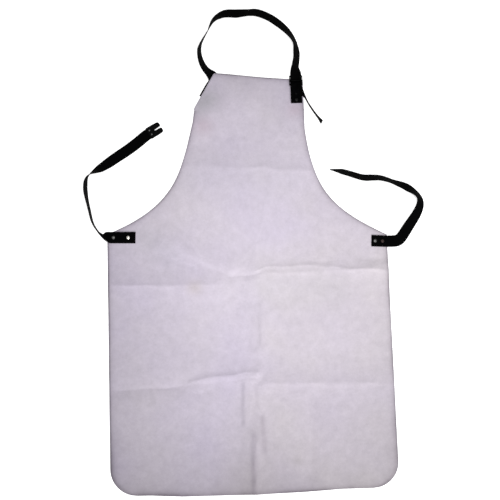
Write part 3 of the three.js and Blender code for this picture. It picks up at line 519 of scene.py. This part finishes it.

# Soft stains and darker marks, in millimetres: both ends, radius, and the share of each colour left at the
# middle. The darker lines and bands along the creases and the band along the hem are painted shade; a darker
# patch also lies on the turned corner. A stain fades as e^-(distance / radius)^2.
stains_and_painted_shade = [
    ((-96, 388), (-80, 394), 26, (0.82, 0.85, 0.81)), ((-91, 338), (-87, 338), 20, (0.93, 0.88, 0.88)),
    ((112, 368), (116, 368), 16, (0.97, 0.92, 0.92)), ((-119, -18), (-115, -18), 16, (0.96, 0.95, 0.88)),
    ((90, -389), (92, -389), 9, (0.92, 0.92, 0.9)), ((-14, -430), (-6, -430), 60, (0.93, 0.93, 0.91)),
    ((50, -20), (180, -25), 45, (0.93, 0.94, 0.93)), ((-150, 226), (80, 220), 45, (0.945, 0.95, 0.95)),
    ((-215, 92), (-165, 52), 30, (0.93, 0.94, 0.94)),
    ((-239, -435), (200, -440), 45, (0.96, 0.96, 0.95)), ((-19, -226), (-21, -311), 5, (0.89, 0.89, 0.9)),
    ((20, -300), (22, -364), 6, (0.85, 0.84, 0.85)), ((1, -335), (-4, -470), 7, (0.85, 0.84, 0.86)),
    ((20, -87), (22, -145), 4, (0.93, 0.93, 0.93)),
]
stain_and_shade_share = np.ones((len(leather_points), 3))
for start, end, radius, left in stains_and_painted_shade:
    away = distance_to_stretch(leather_points[:, :2], np.array(start), np.array(end))
    stain_and_shade_share *= 1 - np.exp(-(away / radius) ** 2)[:, None] * (1 - np.array(left))
stain_and_shade_colours = np.column_stack([stain_and_shade_share, np.ones(len(stain_and_shade_share))])
leather.data.attributes.new("stains_and_painted_shade", "FLOAT_COLOR", "POINT").data.foreach_set("color", stain_and_shade_colours.ravel())

joined = bmesh.new()
joined.from_mesh(leather.data)
bmesh.ops.remove_doubles(joined, verts=joined.verts, dist=0.00005)
joined.to_mesh(leather.data)
joined.free()
wall = leather.modifiers.new("wall", "SOLIDIFY")
wall.thickness = leather_thickness / 1000
wall.offset = 0
wall.material_offset_rim = 1
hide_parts("apron_panel")
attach(leather, "root")

# The left waist strap is 25 mm black webbing, riveted flat on the leather at the waist corner. It stands on
# its edge where it bends away from the skirt, and turns over once before it reaches the forked fitting.
clip_thickness = 5.0
clip_seat_share = (clip_thickness / 2 - webbing_thickness / 2) / face_height
left_route = [
    (0.0, 178, 0, 1), (0.02, 168, 30, 1), (0.052, 144, 75, 0.6), (0.087, 130.5, 87, 0.2), (0.13, 118, 87, 0),
    (0.195, 101, 86, 0), (0.296, 103, 83, 0), (0.37, 96, 77, 0), (0.428, 83, 80, 0), (0.456, 71, 88, 0),
    (0.509, 26, 113, 0), (0.567, 34, 148, 0), (0.65, 35.5, 169, 0), (0.745, 32.5, 176, 0),
    (0.86, 37.5, 180, 0), (0.92, 39.5, 180, 0), (0.955, 32, 180, clip_seat_share),
    (1.0, 30, 180, clip_seat_share),
]


strap_step = 2.0


def softened(values, window=5):
    """Each value replaced by the Hann-weighted mean of its neighbours, the ends held."""
    weights = np.hanning(window + 2)[1:-1]
    padded = np.pad(values, window // 2, mode="edge")
    return np.convolve(padded, weights / weights.sum(), mode="valid")


def standing(roll):
    """Height of a strap's middle over what its lower edge stands on: 12.5 |sin roll| + 0.8 |cos roll|."""
    return half_webbing * np.abs(np.sin(roll)) + webbing_thickness / 2 * np.abs(np.cos(roll))


def strap_route(start, straight, length, route, base_height):
    """Middle line and roll of a strap: a straight riveted stretch, then a free length that a table steers.

    The free place is the running sum of step (cos heading, sin heading). The table holds the share of the
    length, heading and roll in degrees, and the base as a share of base_height.
    """
    lead, count = int(straight / strap_step), int(length / strap_step)
    at = np.append(np.zeros(lead), np.arange(count + 1) / count)
    table = np.array(route, dtype=float)
    middle = np.append(np.zeros(lead), (np.arange(count) + 0.5) / count)
    heading = softened(np.radians(np.interp(middle, table[:, 0], table[:, 1])))
    roll = softened(np.radians(np.interp(at, table[:, 0], table[:, 2])))
    height = softened(np.interp(at, table[:, 0], table[:, 3])) * base_height + standing(roll)
    step = np.append(np.full(lead, straight / max(lead, 1)), np.full(count, length / count))
    steps = step[:, None] * np.column_stack([np.cos(heading), np.sin(heading)])
    places = np.vstack([start, start + np.cumsum(steps, axis=0)])
    return np.column_stack([places, height]), roll


def webbing(name, line, roll, half=None):
    """A webbing band: a flat section with round selvedges, carried along its middle line.

    At each point the section's width lies along level cos roll + upright sin roll, square to the line.
    The UV map counts centimetres along the strap and round its section.
    """
    along = np.gradient(line, axis=0)
    along /= np.linalg.norm(along, axis=1)[:, None]
    level = np.column_stack([-along[:, 1], along[:, 0], np.zeros(len(along))])
    level /= np.linalg.norm(level, axis=1)[:, None]
    width_way = level * np.cos(roll)[:, None] + np.cross(along, level) * np.sin(roll)[:, None]
    thick_way = np.cross(along, width_way)
    half = np.full(len(line), half_webbing) if half is None else half
    edge = webbing_thickness / 2
    side_points = 7
    turn = np.linspace(-math.pi / 2, math.pi / 2, side_points)
    face = np.linspace(-1, 1, side_points + 2)[1:-1]
    ones, zeros = np.ones(side_points), np.zeros(side_points)
    span = np.concatenate([ones, -face, -ones, face])
    bulge = np.concatenate([edge * np.cos(turn), zeros, -edge * np.cos(turn), zeros])
    thick = np.concatenate([edge * np.sin(turn), edge * ones, -edge * np.sin(turn), -edge * ones])
    reach_out = span * (half[:, None] - edge) + bulge
    points = line[:, None, :] + reach_out[..., None] * width_way[:, None, :] + (
        thick[:, None] * thick_way[:, None, :])
    rows, columns = len(line), len(span)
    corner = np.arange(rows - 1)[:, None] * columns + np.arange(columns)
    after = np.roll(corner, -1, axis=1)
    faces = np.stack([corner, after, after + columns, corner + columns], axis=-1).reshape(-1, 4)
    caps = [list(range(columns))[::-1], list(range((rows - 1) * columns, rows * columns))]
    piece = new_piece(name, points.reshape(-1, 3), faces.tolist() + caps, black_webbing)
    length_run = np.append(0, np.cumsum(np.linalg.norm(np.diff(line, axis=0), axis=1))) / 10
    section = np.column_stack([reach_out[0], thick])
    section_steps = np.linalg.norm(np.diff(section, axis=0, append=section[:1]), axis=1)
    round_run = np.append(0, np.cumsum(section_steps)) / 10
    u = np.stack([length_run[:-1], length_run[:-1], length_run[1:], length_run[1:]], axis=-1)
    v = np.stack([round_run[:-1], round_run[1:], round_run[1:], round_run[:-1]], axis=-1)
    uv = np.stack(np.broadcast_arrays(u[:, None, :], v[None, :, :]), axis=-1).reshape(-1)
    layer = piece.data.uv_layers.new(name="webbing_centimetres")
    cap_uv = np.zeros(2 * 2 * columns)
    layer.data.foreach_set("uv", np.concatenate([uv, cap_uv]))
    piece.data.set_sharp_from_angle(angle=math.radians(60))
    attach(piece, "root")
    return piece


# Plain-woven filament yarn: a cord every 2 mm across, its floats 3 mm long and set off by half a float
black_webbing, weave, weave_shader = new_material("black_webbing", 0.7)
weave_shader.inputs["Specular IOR Level"].default_value = 0.01
strap_map = weave.nodes.new("ShaderNodeUVMap")
strap_map.uv_map = "webbing_centimetres"
map_parts = weave.nodes.new("ShaderNodeSeparateXYZ")
weave.links.new(strap_map.outputs["UV"], map_parts.inputs["Vector"])
cord_run = maths(weave, "MULTIPLY", map_parts.outputs["Y"], 5.0)
cord = maths(weave, "ABSOLUTE", maths(weave, "SINE", maths(weave, "MULTIPLY", cord_run, math.pi)))
offset = maths(weave, "MULTIPLY", maths(weave, "FLOOR", cord_run), math.pi)
float_run = maths(weave, "ADD", maths(weave, "MULTIPLY", map_parts.outputs["X"], 20.9), offset)
floats = maths(weave, "ADD", maths(weave, "MULTIPLY", maths(weave, "SINE", float_run), 0.35), 0.65)
weave_height = maths(weave, "MULTIPLY", cord, floats)
# The weave's raised floats are painted lighter and the hollows between them darker: painted shade in the
# weave, on top of its bump.
weave_painted_shade = ramp(weave, weave_height, [(0.0, (0.0002, 0.0002, 0.0002)), (1.0, (0.0026, 0.0026, 0.0029))])
weave.links.new(weave_painted_shade, weave_shader.inputs["Base Color"])
bumped(weave, weave_shader, weave_height, 0.0004, 0.8)

left_riveted = 55.0
left_strap_length = 329.0
left_line, left_roll = strap_route(left_tab_start, left_riveted, left_strap_length, left_route, face_height)
left_strap = webbing("left_strap", left_line, left_roll)
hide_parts("left_waist_strap")

# Each end of webbing is held by two nickel-plated rivets: a low domed cap on the webbing, a shank through both
# layers, and a clenched foot under the leather. Their nickel is painted lit and shaded: the first carries a
# painted highlight, the others painted shade, one of them darkest.


def plated(name, roughness, worn, bright):
    """Nickel plate whose colour wanders between a worn and a bright one."""
    material, tree, shader = new_material(name, roughness)
    shader.inputs["Metallic"].default_value = 1.0
    place = tree.nodes.new("ShaderNodeTexCoord").outputs["Object"]
    tarnish = ramp(tree, noise(tree, place, 700, 4), [(0.3, worn), (0.7, bright)])
    tree.links.new(tarnish, shader.inputs["Base Color"])
    bumped(tree, shader, noise(tree, place, 1500, 3), 0.0001, 0.4)
    return material


# The first three are copies of one nickel painted lit and shaded: a painted highlight on the first, painted
# shade on the next, and the deepest painted shade on the third.
highlight_painted_nickel = plated("highlight_painted_nickel", 0.3, (0.6, 0.58, 0.52), (0.95, 0.93, 0.86))
shade_painted_nickel = plated("shade_painted_nickel", 0.45, (0.05, 0.05, 0.05), (0.16, 0.16, 0.155))
deepest_shade_nickel = plated("deepest_shade_nickel", 0.55, (0.022, 0.014, 0.012), (0.06, 0.044, 0.042))
black_nickel = plated("black_nickel", 0.5, (0.008, 0.008, 0.008), (0.02, 0.02, 0.02))


def rivet(name, node, place, shoulder, cap_radius, cap_height, foot, shank_radius, plate, cap_down=False):
    """A rivet turned about its own axis: each (radius, height) of its profile goes round 28 places."""
    foot_radius, foot_height = foot
    profile = np.array([
        (0, 0), (foot_radius * 0.6, 0), (foot_radius, 0.15 * foot_height), (foot_radius, foot_height),
        (shank_radius, foot_height), (shank_radius, shoulder), (cap_radius * 0.97, shoulder),
        (cap_radius, shoulder + 0.12 * cap_height), (cap_radius * 0.96, shoulder + 0.36 * cap_height),
        (cap_radius * 0.84, shoulder + 0.62 * cap_height), (cap_radius * 0.62, shoulder + 0.84 * cap_height),
        (cap_radius * 0.34, shoulder + 0.96 * cap_height), (0, shoulder + cap_height)])
    if cap_down:
        profile = np.column_stack([profile[:, 0], shoulder + cap_height - profile[:, 1]])[::-1]
    places_round = 28
    angle = 2 * math.pi * np.arange(places_round) / places_round
    rings = profile[1:-1]
    points = np.stack([
        place[0] + rings[:, :1] * np.cos(angle), place[1] + rings[:, :1] * np.sin(angle),
        np.broadcast_to(place[2] + rings[:, 1:], (len(rings), places_round))], axis=-1).reshape(-1, 3)
    poles = [(place[0], place[1], place[2] + profile[0, 1]), (place[0], place[1], place[2] + profile[-1, 1])]
    corner = np.arange(len(rings) - 1)[:, None] * places_round + np.arange(places_round)
    after = np.roll(corner, -1, axis=1)
    sides = np.stack([corner, after, after + places_round, corner + places_round], axis=-1).reshape(-1, 4)
    low, high = len(points), len(points) + 1
    last = (len(rings) - 1) * places_round
    ends = [(low, (k + 1) % places_round, k) for k in range(places_round)]
    ends += [(high, last + k, last + (k + 1) % places_round) for k in range(places_round)]
    piece = new_piece(name, np.vstack([points, poles]), sides.tolist() + ends, plate)
    piece.data.set_sharp_from_angle(angle=math.radians(50))
    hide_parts(node)
    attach(piece, "root")
    return piece


waist_shoulder = 4.8
cap = {"cap_radius": 3.8, "cap_height": 1.2, "foot": (3.2, 0.7), "shank_radius": 1.6}
left_way = np.array([math.cos(math.radians(178)), math.sin(math.radians(178))])
for k, run_out, plate in ((1, 16, highlight_painted_nickel), (2, 48, shade_painted_nickel)):
    spot = np.append(left_tab_start + left_way * run_out, 0)
    rivet(f"left_strap_rivet_{k}", f"left_waist_rivet_{k}", spot, waist_shoulder, plate=plate, **cap)

# The forked fitting on the left strap's end is moulded in black plastic: a jaw that grips the webbing, two
# small rivets across it, and a slotted tongue that a hook drops into.
black_plastic, moulded, moulded_shader = new_material("black_plastic", 0.42)
moulded_shader.inputs["Specular IOR Level"].default_value = 0.03
moulded_place = moulded.nodes.new("ShaderNodeTexCoord").outputs["Object"]
scuffed, rubbed = (0.0006, 0.0006, 0.0007), (0.0022, 0.0022, 0.0024)
wear = ramp(moulded, noise(moulded, moulded_place, 300, 4), [(0.3, scuffed), (0.7, rubbed)])
moulded.links.new(wear, moulded_shader.inputs["Base Color"])
bumped(moulded, moulded_shader, noise(moulded, moulded_place, 2500, 3), 0.0001, 0.5)

clip_length = 32.0
clip_half = half_webbing + 0.8
clip_root = clip_length - 16
clip_jaw = 11.0
clip_heading = math.radians(30)
clip_way = np.array([math.cos(clip_heading), math.sin(clip_heading)])
clip_side = np.array([-clip_way[1], clip_way[0]])
clip_mouth = left_line[-1, :2] - clip_way * (clip_jaw - webbing_gap)
clip_middle = left_line[-1, 2]
half_outline = np.array([
    (0, clip_half - 1.2), (1.2, clip_half), (clip_root, clip_half), (clip_length - 4, clip_half - 0.6),
    (clip_length - 1.2, clip_half - 2.2), (clip_length, clip_half - 4.4), (clip_length, 4.2),
    (clip_length - 1, 3.0), (clip_length - 3, 1.9), (clip_root + 2, 1.6), (clip_root + 0.5, 1.1),
    (clip_root, 0.5)])
clip_outline = np.vstack([half_outline, half_outline[::-1] * (1, -1)])
clip_count = len(clip_outline)
clip_flat = clip_mouth + clip_outline[:, :1] * clip_way + clip_outline[:, 1:] * clip_side
clip_points = np.vstack([
    np.column_stack([clip_flat, np.full(clip_count, clip_middle - clip_thickness / 2)]),
    np.column_stack([clip_flat, np.full(clip_count, clip_middle + clip_thickness / 2)])])
ring = np.arange(clip_count)
ring_after = np.roll(ring, -1)
clip_faces = np.stack([ring, ring + clip_count, ring_after + clip_count, ring_after], axis=-1).tolist()
clip_faces += [ring.tolist(), (ring[::-1] + clip_count).tolist()]
clip = new_piece("forked_fitting", clip_points, clip_faces, black_plastic)
soft_edge = clip.modifiers.new("soft_edge", "BEVEL")
soft_edge.width = 0.0007
soft_edge.segments = 3
soft_edge.limit_method = "ANGLE"
soft_edge.angle_limit = math.radians(50)
clip.data.set_sharp_from_angle(angle=math.radians(30))
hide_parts("waist_clip")
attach(clip, "root")
clip_cap = {"cap_radius": 1.9, "cap_height": 0.5, "foot": (1.0, 0.5), "shank_radius": 1.0}
for k, side in enumerate((-1, 1), start=1):
    spot = clip_mouth + clip_way * clip_jaw / 2 + clip_side * side * 5
    rivet(f"fitting_rivet_{k}", f"clip_rivet_{k}", np.append(spot, clip_middle - clip_thickness / 2),
          clip_thickness + webbing_gap, plate=shade_painted_nickel, **clip_cap)

# The right waist strap is the same webbing, cut and heat-sealed to a point. It is riveted at the right waist
# corner, lies flat through its first bend, and stands on its edge along its far end.
right_route = [
    (0.0, -4, 0, 1), (0.059, 2, 6, 1), (0.092, 43, 14, 0.7), (0.118, 54, 18, 0.4), (0.16, 55.5, 18, 0),
    (0.245, 53.5, 30, 0), (0.3, 61.5, 36, 0), (0.34, 72, 43, 0), (0.38, 101, 50, 0), (0.402, 122, 55, 0),
    (0.432, 139, 52, 0), (0.488, 147, 37, 0), (0.54, 160, 46, 0), (0.6, 156.5, 57, 0), (0.66, 163.5, 52, 0),
    (0.7, 177.5, 49, 0), (0.754, 181, 46, 0), (0.803, 161.5, 47, 0), (0.858, 160, 48, 0), (1.0, 172, 54, 0),
]
right_riveted = 31.0
right_strap_length = 343.0
tip_length = 26.0
half_tip = 1.5
right_line, right_roll = strap_route(
    right_tab_start, right_riveted, right_strap_length, right_route, face_height)
left_to_go = np.arange(len(right_line))[::-1] * strap_step
right_half = np.minimum(half_webbing, half_tip + (half_webbing - half_tip) * left_to_go / tip_length)
right_strap = webbing("right_strap", right_line, right_roll, right_half)
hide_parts("right_waist_strap")
right_way = np.array([math.cos(math.radians(-4)), math.sin(math.radians(-4))])
for k, run_out, plate in ((1, 8, shade_painted_nickel), (2, 24, deepest_shade_nickel)):
    spot = np.append(right_tab_start + right_way * run_out, 0)
    rivet(f"right_strap_rivet_{k}", f"right_waist_rivet_{k}", spot, waist_shoulder, plate=plate, **cap)

# The neck strap is one length of the webbing. It is riveted under the turned corner, stands up and turns over
# as it goes round the neck loop, threads the slide and ends in a loose tail on its edge.
neck_loop = [
    (-0.03, -0.047, 3), (-0.075, 0.012, 38), (-0.122, 0.08, 48), (-0.158, 0.168, 56), (-0.182, 0.279, 66),
    (-0.186, 0.386, 74), (-0.159, 0.505, 91), (-0.113, 0.616, 98), (-0.064, 0.726, 102),
    (-0.027, 0.822, 113), (0.033, 0.915, 133), (0.144, 0.991, 153), (0.29, 0.992, 158), (0.43, 0.996, 145),
    (0.54, 0.993, 151), (0.693, 0.908, 148), (0.801, 0.807, 147), (0.902, 0.679, 138), (0.979, 0.536, 122),
    (1.011, 0.433, 116), (1.021, 0.313, 127), (1.016, 0.191, 124), (1, 0.07, 128),
]
tail_route = [
    (0.0, -76, 180, 1), (0.06, -66, 196, 0.86), (0.16, -56, 236, 0.82), (0.25, -56, 260, 0.8),
    (0.32, -57, 272, 0.66), (0.4, -60, 277, 0.34), (0.5, -61, 277, 0), (0.85, -55, 275, 0),
    (1.0, -54, 264, 0),
]
loop_height = 138.0
tail_length = 102.0
turned_tab_length = 60.0
turned_tab_proud = 5.0
wrap_radius = slide_bar / 2 + 0.65 + webbing_thickness / 2
tab_lower = face_height + webbing_thickness / 2
tab_upper = tab_lower + webbing_thickness + webbing_gap
slide_z = tab_lower + wrap_radius
turned_middle = turn_top + turn_out * (turned_tab_proud + turn_radius - half_webbing)
turned_tab_foot = turned_middle - turn_up * turned_tab_length

# Over the top bar, under the middle one and over the tab's wrapped bar, as arcs joined by straight runs
bars = [(top_bar_y, wrap_radius, 1), (middle_bar_y, wrap_radius, -1),
        (tab_bar_y, wrap_radius + webbing_thickness + webbing_gap, 1)]
leans = [math.asin((bars[k][1] + bars[k + 1][1]) / (bars[k][0] - bars[k + 1][0])) for k in (0, 1)]
leans = [math.radians(18), *leans, math.radians(18)]
arcs = [np.linspace(-leans[k], leans[k + 1], 9) for k in range(len(bars))]
threaded = np.vstack([
    np.column_stack([
        np.full(len(arc), neck_x), bar_y - radius * np.sin(arc), slide_z + side * radius * np.cos(arc)])
    for arc, (bar_y, radius, side) in zip(arcs, bars)])


def smooth_curve(points, counts):
    """A curve through points in a plane: each stretch a cubic, its slopes from the roots of the spacings."""
    ends = np.vstack([2 * points[0] - points[1], points, 2 * points[-1] - points[-2]])
    before, here, after, beyond = ends[:-3], ends[1:-2], ends[2:-1], ends[3:]
    spacings = ((before, here), (here, after), (after, beyond))
    gap_before, gap_here, gap_after = (np.sqrt(np.linalg.norm(b - a, axis=1))[:, None] for a, b in spacings)
    slope_in = gap_here * (
        (here - before) / gap_before - (after - before) / (gap_before + gap_here) + (after - here) / gap_here)
    slope_out = gap_here * (
        (after - here) / gap_here - (beyond - here) / (gap_here + gap_after) + (beyond - after) / gap_after)
    stretch_of = np.repeat(np.arange(len(counts)), counts)
    t = np.concatenate([np.arange(count) / count for count in counts])[:, None]
    here, after, slope_in, slope_out = (each[stretch_of] for each in (here, after, slope_in, slope_out))
    return here + slope_in * t + (3 * (after - here) - 2 * slope_in - slope_out) * t ** 2 + (
        2 * (here - after) + slope_in + slope_out) * t ** 3


loop_table = np.array(neck_loop)
loop_places = np.column_stack([
    turn_top[0] + (neck_x - turn_top[0]) * loop_table[:, 0], top_y + loop_table[:, 1] * loop_height])
knots = np.vstack([
    turned_tab_foot, turned_tab_foot + turn_up * turned_tab_length * 0.4,
    turned_tab_foot + turn_up * turned_tab_length * 0.78, loop_places,
    [neck_x, threaded[0, 1]]])
knot_roll = np.radians(np.concatenate([[0, 0, 0], loop_table[:, 2], [180]]))
knot_base = np.concatenate([
    np.full(4, turned_tab_base), np.zeros(len(loop_table) - 1), [threaded[0, 2] - webbing_thickness / 2]])
knot_gaps = np.linalg.norm(np.diff(knots, axis=0), axis=1)
counts = np.maximum(1, np.round(knot_gaps / strap_step)).astype(int)
loop_line = smooth_curve(knots, counts)
knot_run = np.append(0, np.cumsum(counts))
station = np.arange(knot_run[-1])
loop_roll = softened(np.interp(station, knot_run, knot_roll))
loop_base = softened(np.interp(station, knot_run, knot_base))
loop_line = np.column_stack([loop_line, loop_base + standing(loop_roll)])
tail_start, tail_height = threaded[-1, :2], threaded[-1, 2] - webbing_thickness / 2
tail_line, tail_roll = strap_route(tail_start, 0, tail_length, tail_route, tail_height)
neck_line = np.vstack([loop_line, threaded, tail_line[1:]])
neck_roll = np.concatenate([loop_roll, np.full(len(threaded), math.pi), tail_roll[1:]])
neck_strap = webbing("neck_loop_strap", neck_line, neck_roll)
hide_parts("neck_strap")

# The slide hangs in a short doubled tab of the webbing, wrapped round its lowest bar and riveted to the bib's
# top right corner. Under the turned corner the strap's own end is riveted the same way, cap down.
wrap = np.linspace(0, math.pi, 17)
tab_side = np.vstack([
    [neck_tab_foot, tab_lower], [(neck_tab_foot + tab_bar_y) / 2, tab_lower],
    np.column_stack([tab_bar_y + wrap_radius * np.sin(wrap), slide_z - wrap_radius * np.cos(wrap)]),
    [neck_tab_foot + (tab_bar_y - neck_tab_foot) * 0.78, tab_upper], [neck_tab_foot + 10, tab_upper],
    [neck_tab_foot + webbing_thickness, tab_upper]])
along_side = np.gradient(tab_side, axis=0)
along_side /= np.linalg.norm(along_side, axis=1)[:, None]
square = np.column_stack([-along_side[:, 1], along_side[:, 0]]) * webbing_thickness / 2
tab_outline = np.vstack([tab_side + square, (tab_side - square)[::-1]])
tab_count = len(tab_outline)
tab_steps = 6
tab_layers = neck_x + np.linspace(-half_webbing, half_webbing, tab_steps + 1)
tab_points = np.vstack([
    np.column_stack([np.full(tab_count, layer_x), tab_outline]) for layer_x in tab_layers])
tab_ring = np.arange(tab_steps)[:, None] * tab_count + np.arange(tab_count)
tab_next = np.roll(tab_ring, -1, axis=1)
tab_faces = np.stack([tab_ring, tab_ring + tab_count, tab_next + tab_count, tab_next], axis=-1).reshape(-1, 4)
tab_strips = np.arange(len(tab_side) - 1)
tab_ends = np.stack([
    tab_strips, tab_strips + 1, tab_count - 2 - tab_strips, tab_count - 1 - tab_strips], axis=-1)
neck_tab = new_piece("slide_tab", tab_points, np.vstack(
    [tab_faces, tab_ends, tab_ends[:, ::-1] + tab_steps * tab_count]).tolist(), black_webbing)
tab_mesh = bmesh.new()
tab_mesh.from_mesh(neck_tab.data)
bmesh.ops.recalc_face_normals(tab_mesh, faces=tab_mesh.faces)
tab_mesh.to_mesh(neck_tab.data)
tab_mesh.free()
corners_of = np.empty(len(neck_tab.data.loops), dtype=int)
neck_tab.data.loops.foreach_get("vertex_index", corners_of)
tab_run = np.append(0, np.cumsum(np.linalg.norm(np.diff(tab_outline, axis=0), axis=1)))
tab_across = tab_points[corners_of, 0] - neck_x + half_webbing
tab_uv = np.column_stack([tab_run[corners_of % tab_count], tab_across]) / 10
neck_tab.data.uv_layers.new(name="webbing_centimetres").data.foreach_set("uv", tab_uv.ravel())
neck_tab.data.set_sharp_from_angle(angle=math.radians(60))
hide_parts("neck_tab")
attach(neck_tab, "root")
for k, run_out in enumerate((7, 23), start=1):
    rivet(f"slide_tab_rivet_{k}", f"neck_right_rivet_{k}", (neck_x, neck_tab_foot + run_out, 0), 6.7,
          plate=black_nickel, **cap)
for k, run_out in enumerate((17, 43), start=1):
    spot = np.append(turned_tab_foot + turn_up * run_out, 0)
    rivet(f"turned_corner_rivet_{k}", f"neck_left_rivet_{k}", spot, waist_shoulder, plate=shade_painted_nickel,
          cap_down=True, **cap)

# The slide is a small moulded ladder: two side rails and three bars, which the tab and the strap go round.
slide_inner = half_webbing + 0.35
rail_width = 1.9
slide_outer = slide_inner + rail_width
slide_low = tab_bar_y - slide_bar / 2
slide_high = top_bar_y + slide_bar / 2
bar_sides_round = 20


def moulded_bar(start, end, width, height):
    """A straight bar of rounded oblong section, |2a / width|^4 + |2b / height|^4 = 1.

    It is drawn in to 0.85 and 0.5 of the section at both ends, so that the ends are round too.
    """
    angle = 2 * math.pi * np.arange(bar_sides_round) / bar_sides_round
    a = width / 2 * np.sign(np.cos(angle)) * np.abs(np.cos(angle)) ** 0.5
    b = height / 2 * np.sign(np.sin(angle)) * np.abs(np.sin(angle)) ** 0.5
    start, end = np.array(start, dtype=float), np.array(end, dtype=float)
    way = (end - start) / np.linalg.norm(end - start)
    side = np.cross((0, 0, 1), way)
    inset = min(width, height) * 0.2
    line = np.array([start, start + way * inset * 0.4, start + way * inset, end - way * inset,
                     end - way * inset * 0.4, end])
    size = np.array([0.5, 0.85, 1, 1, 0.85, 0.5])
    return line[:, None, :] + size[:, None, None] * (a[:, None] * side + b[:, None] * np.array((0, 0, 1)))


rail_middle = (slide_inner + slide_outer) / 2
bars_of_slide = [
    moulded_bar((rail_x, slide_low, slide_z), (rail_x, slide_high, slide_z), rail_width, 3.8)
    for rail_x in (neck_x - rail_middle, neck_x + rail_middle)]
bar_left, bar_right = neck_x - slide_inner - 1, neck_x + slide_inner + 1
bars_of_slide += [
    moulded_bar((bar_left, bar_y, slide_z), (bar_right, bar_y, slide_z), slide_bar, 2.4)
    for bar_y in (tab_bar_y, middle_bar_y, top_bar_y)]
slide_points = np.vstack([bar.reshape(-1, 3) for bar in bars_of_slide])
last_ring = (len(bars_of_slide[0]) - 1) * bar_sides_round
bar_ring = np.arange(0, last_ring, bar_sides_round)[:, None] + np.arange(bar_sides_round)
bar_after = np.roll(bar_ring, -1, axis=1)
bar_faces = np.stack(
    [bar_ring, bar_after, bar_after + bar_sides_round, bar_ring + bar_sides_round], axis=-1).reshape(-1, 4)
bar_cap = np.arange(bar_sides_round)
slide_faces = []
for k in range(len(bars_of_slide)):
    first = k * (last_ring + bar_sides_round)
    slide_faces += (bar_faces + first).tolist()
    slide_faces += [(bar_cap[::-1] + first).tolist(), (bar_cap + first + last_ring).tolist()]
slide = new_piece("neck_slide_moulding", slide_points, slide_faces, black_plastic)
slide_mesh = bmesh.new()
slide_mesh.from_mesh(slide.data)
bmesh.ops.recalc_face_normals(slide_mesh, faces=slide_mesh.faces)
slide_mesh.to_mesh(slide.data)
slide_mesh.free()
slide.data.set_sharp_from_angle(angle=math.radians(60))
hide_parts("neck_slide")
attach(slide, "root")
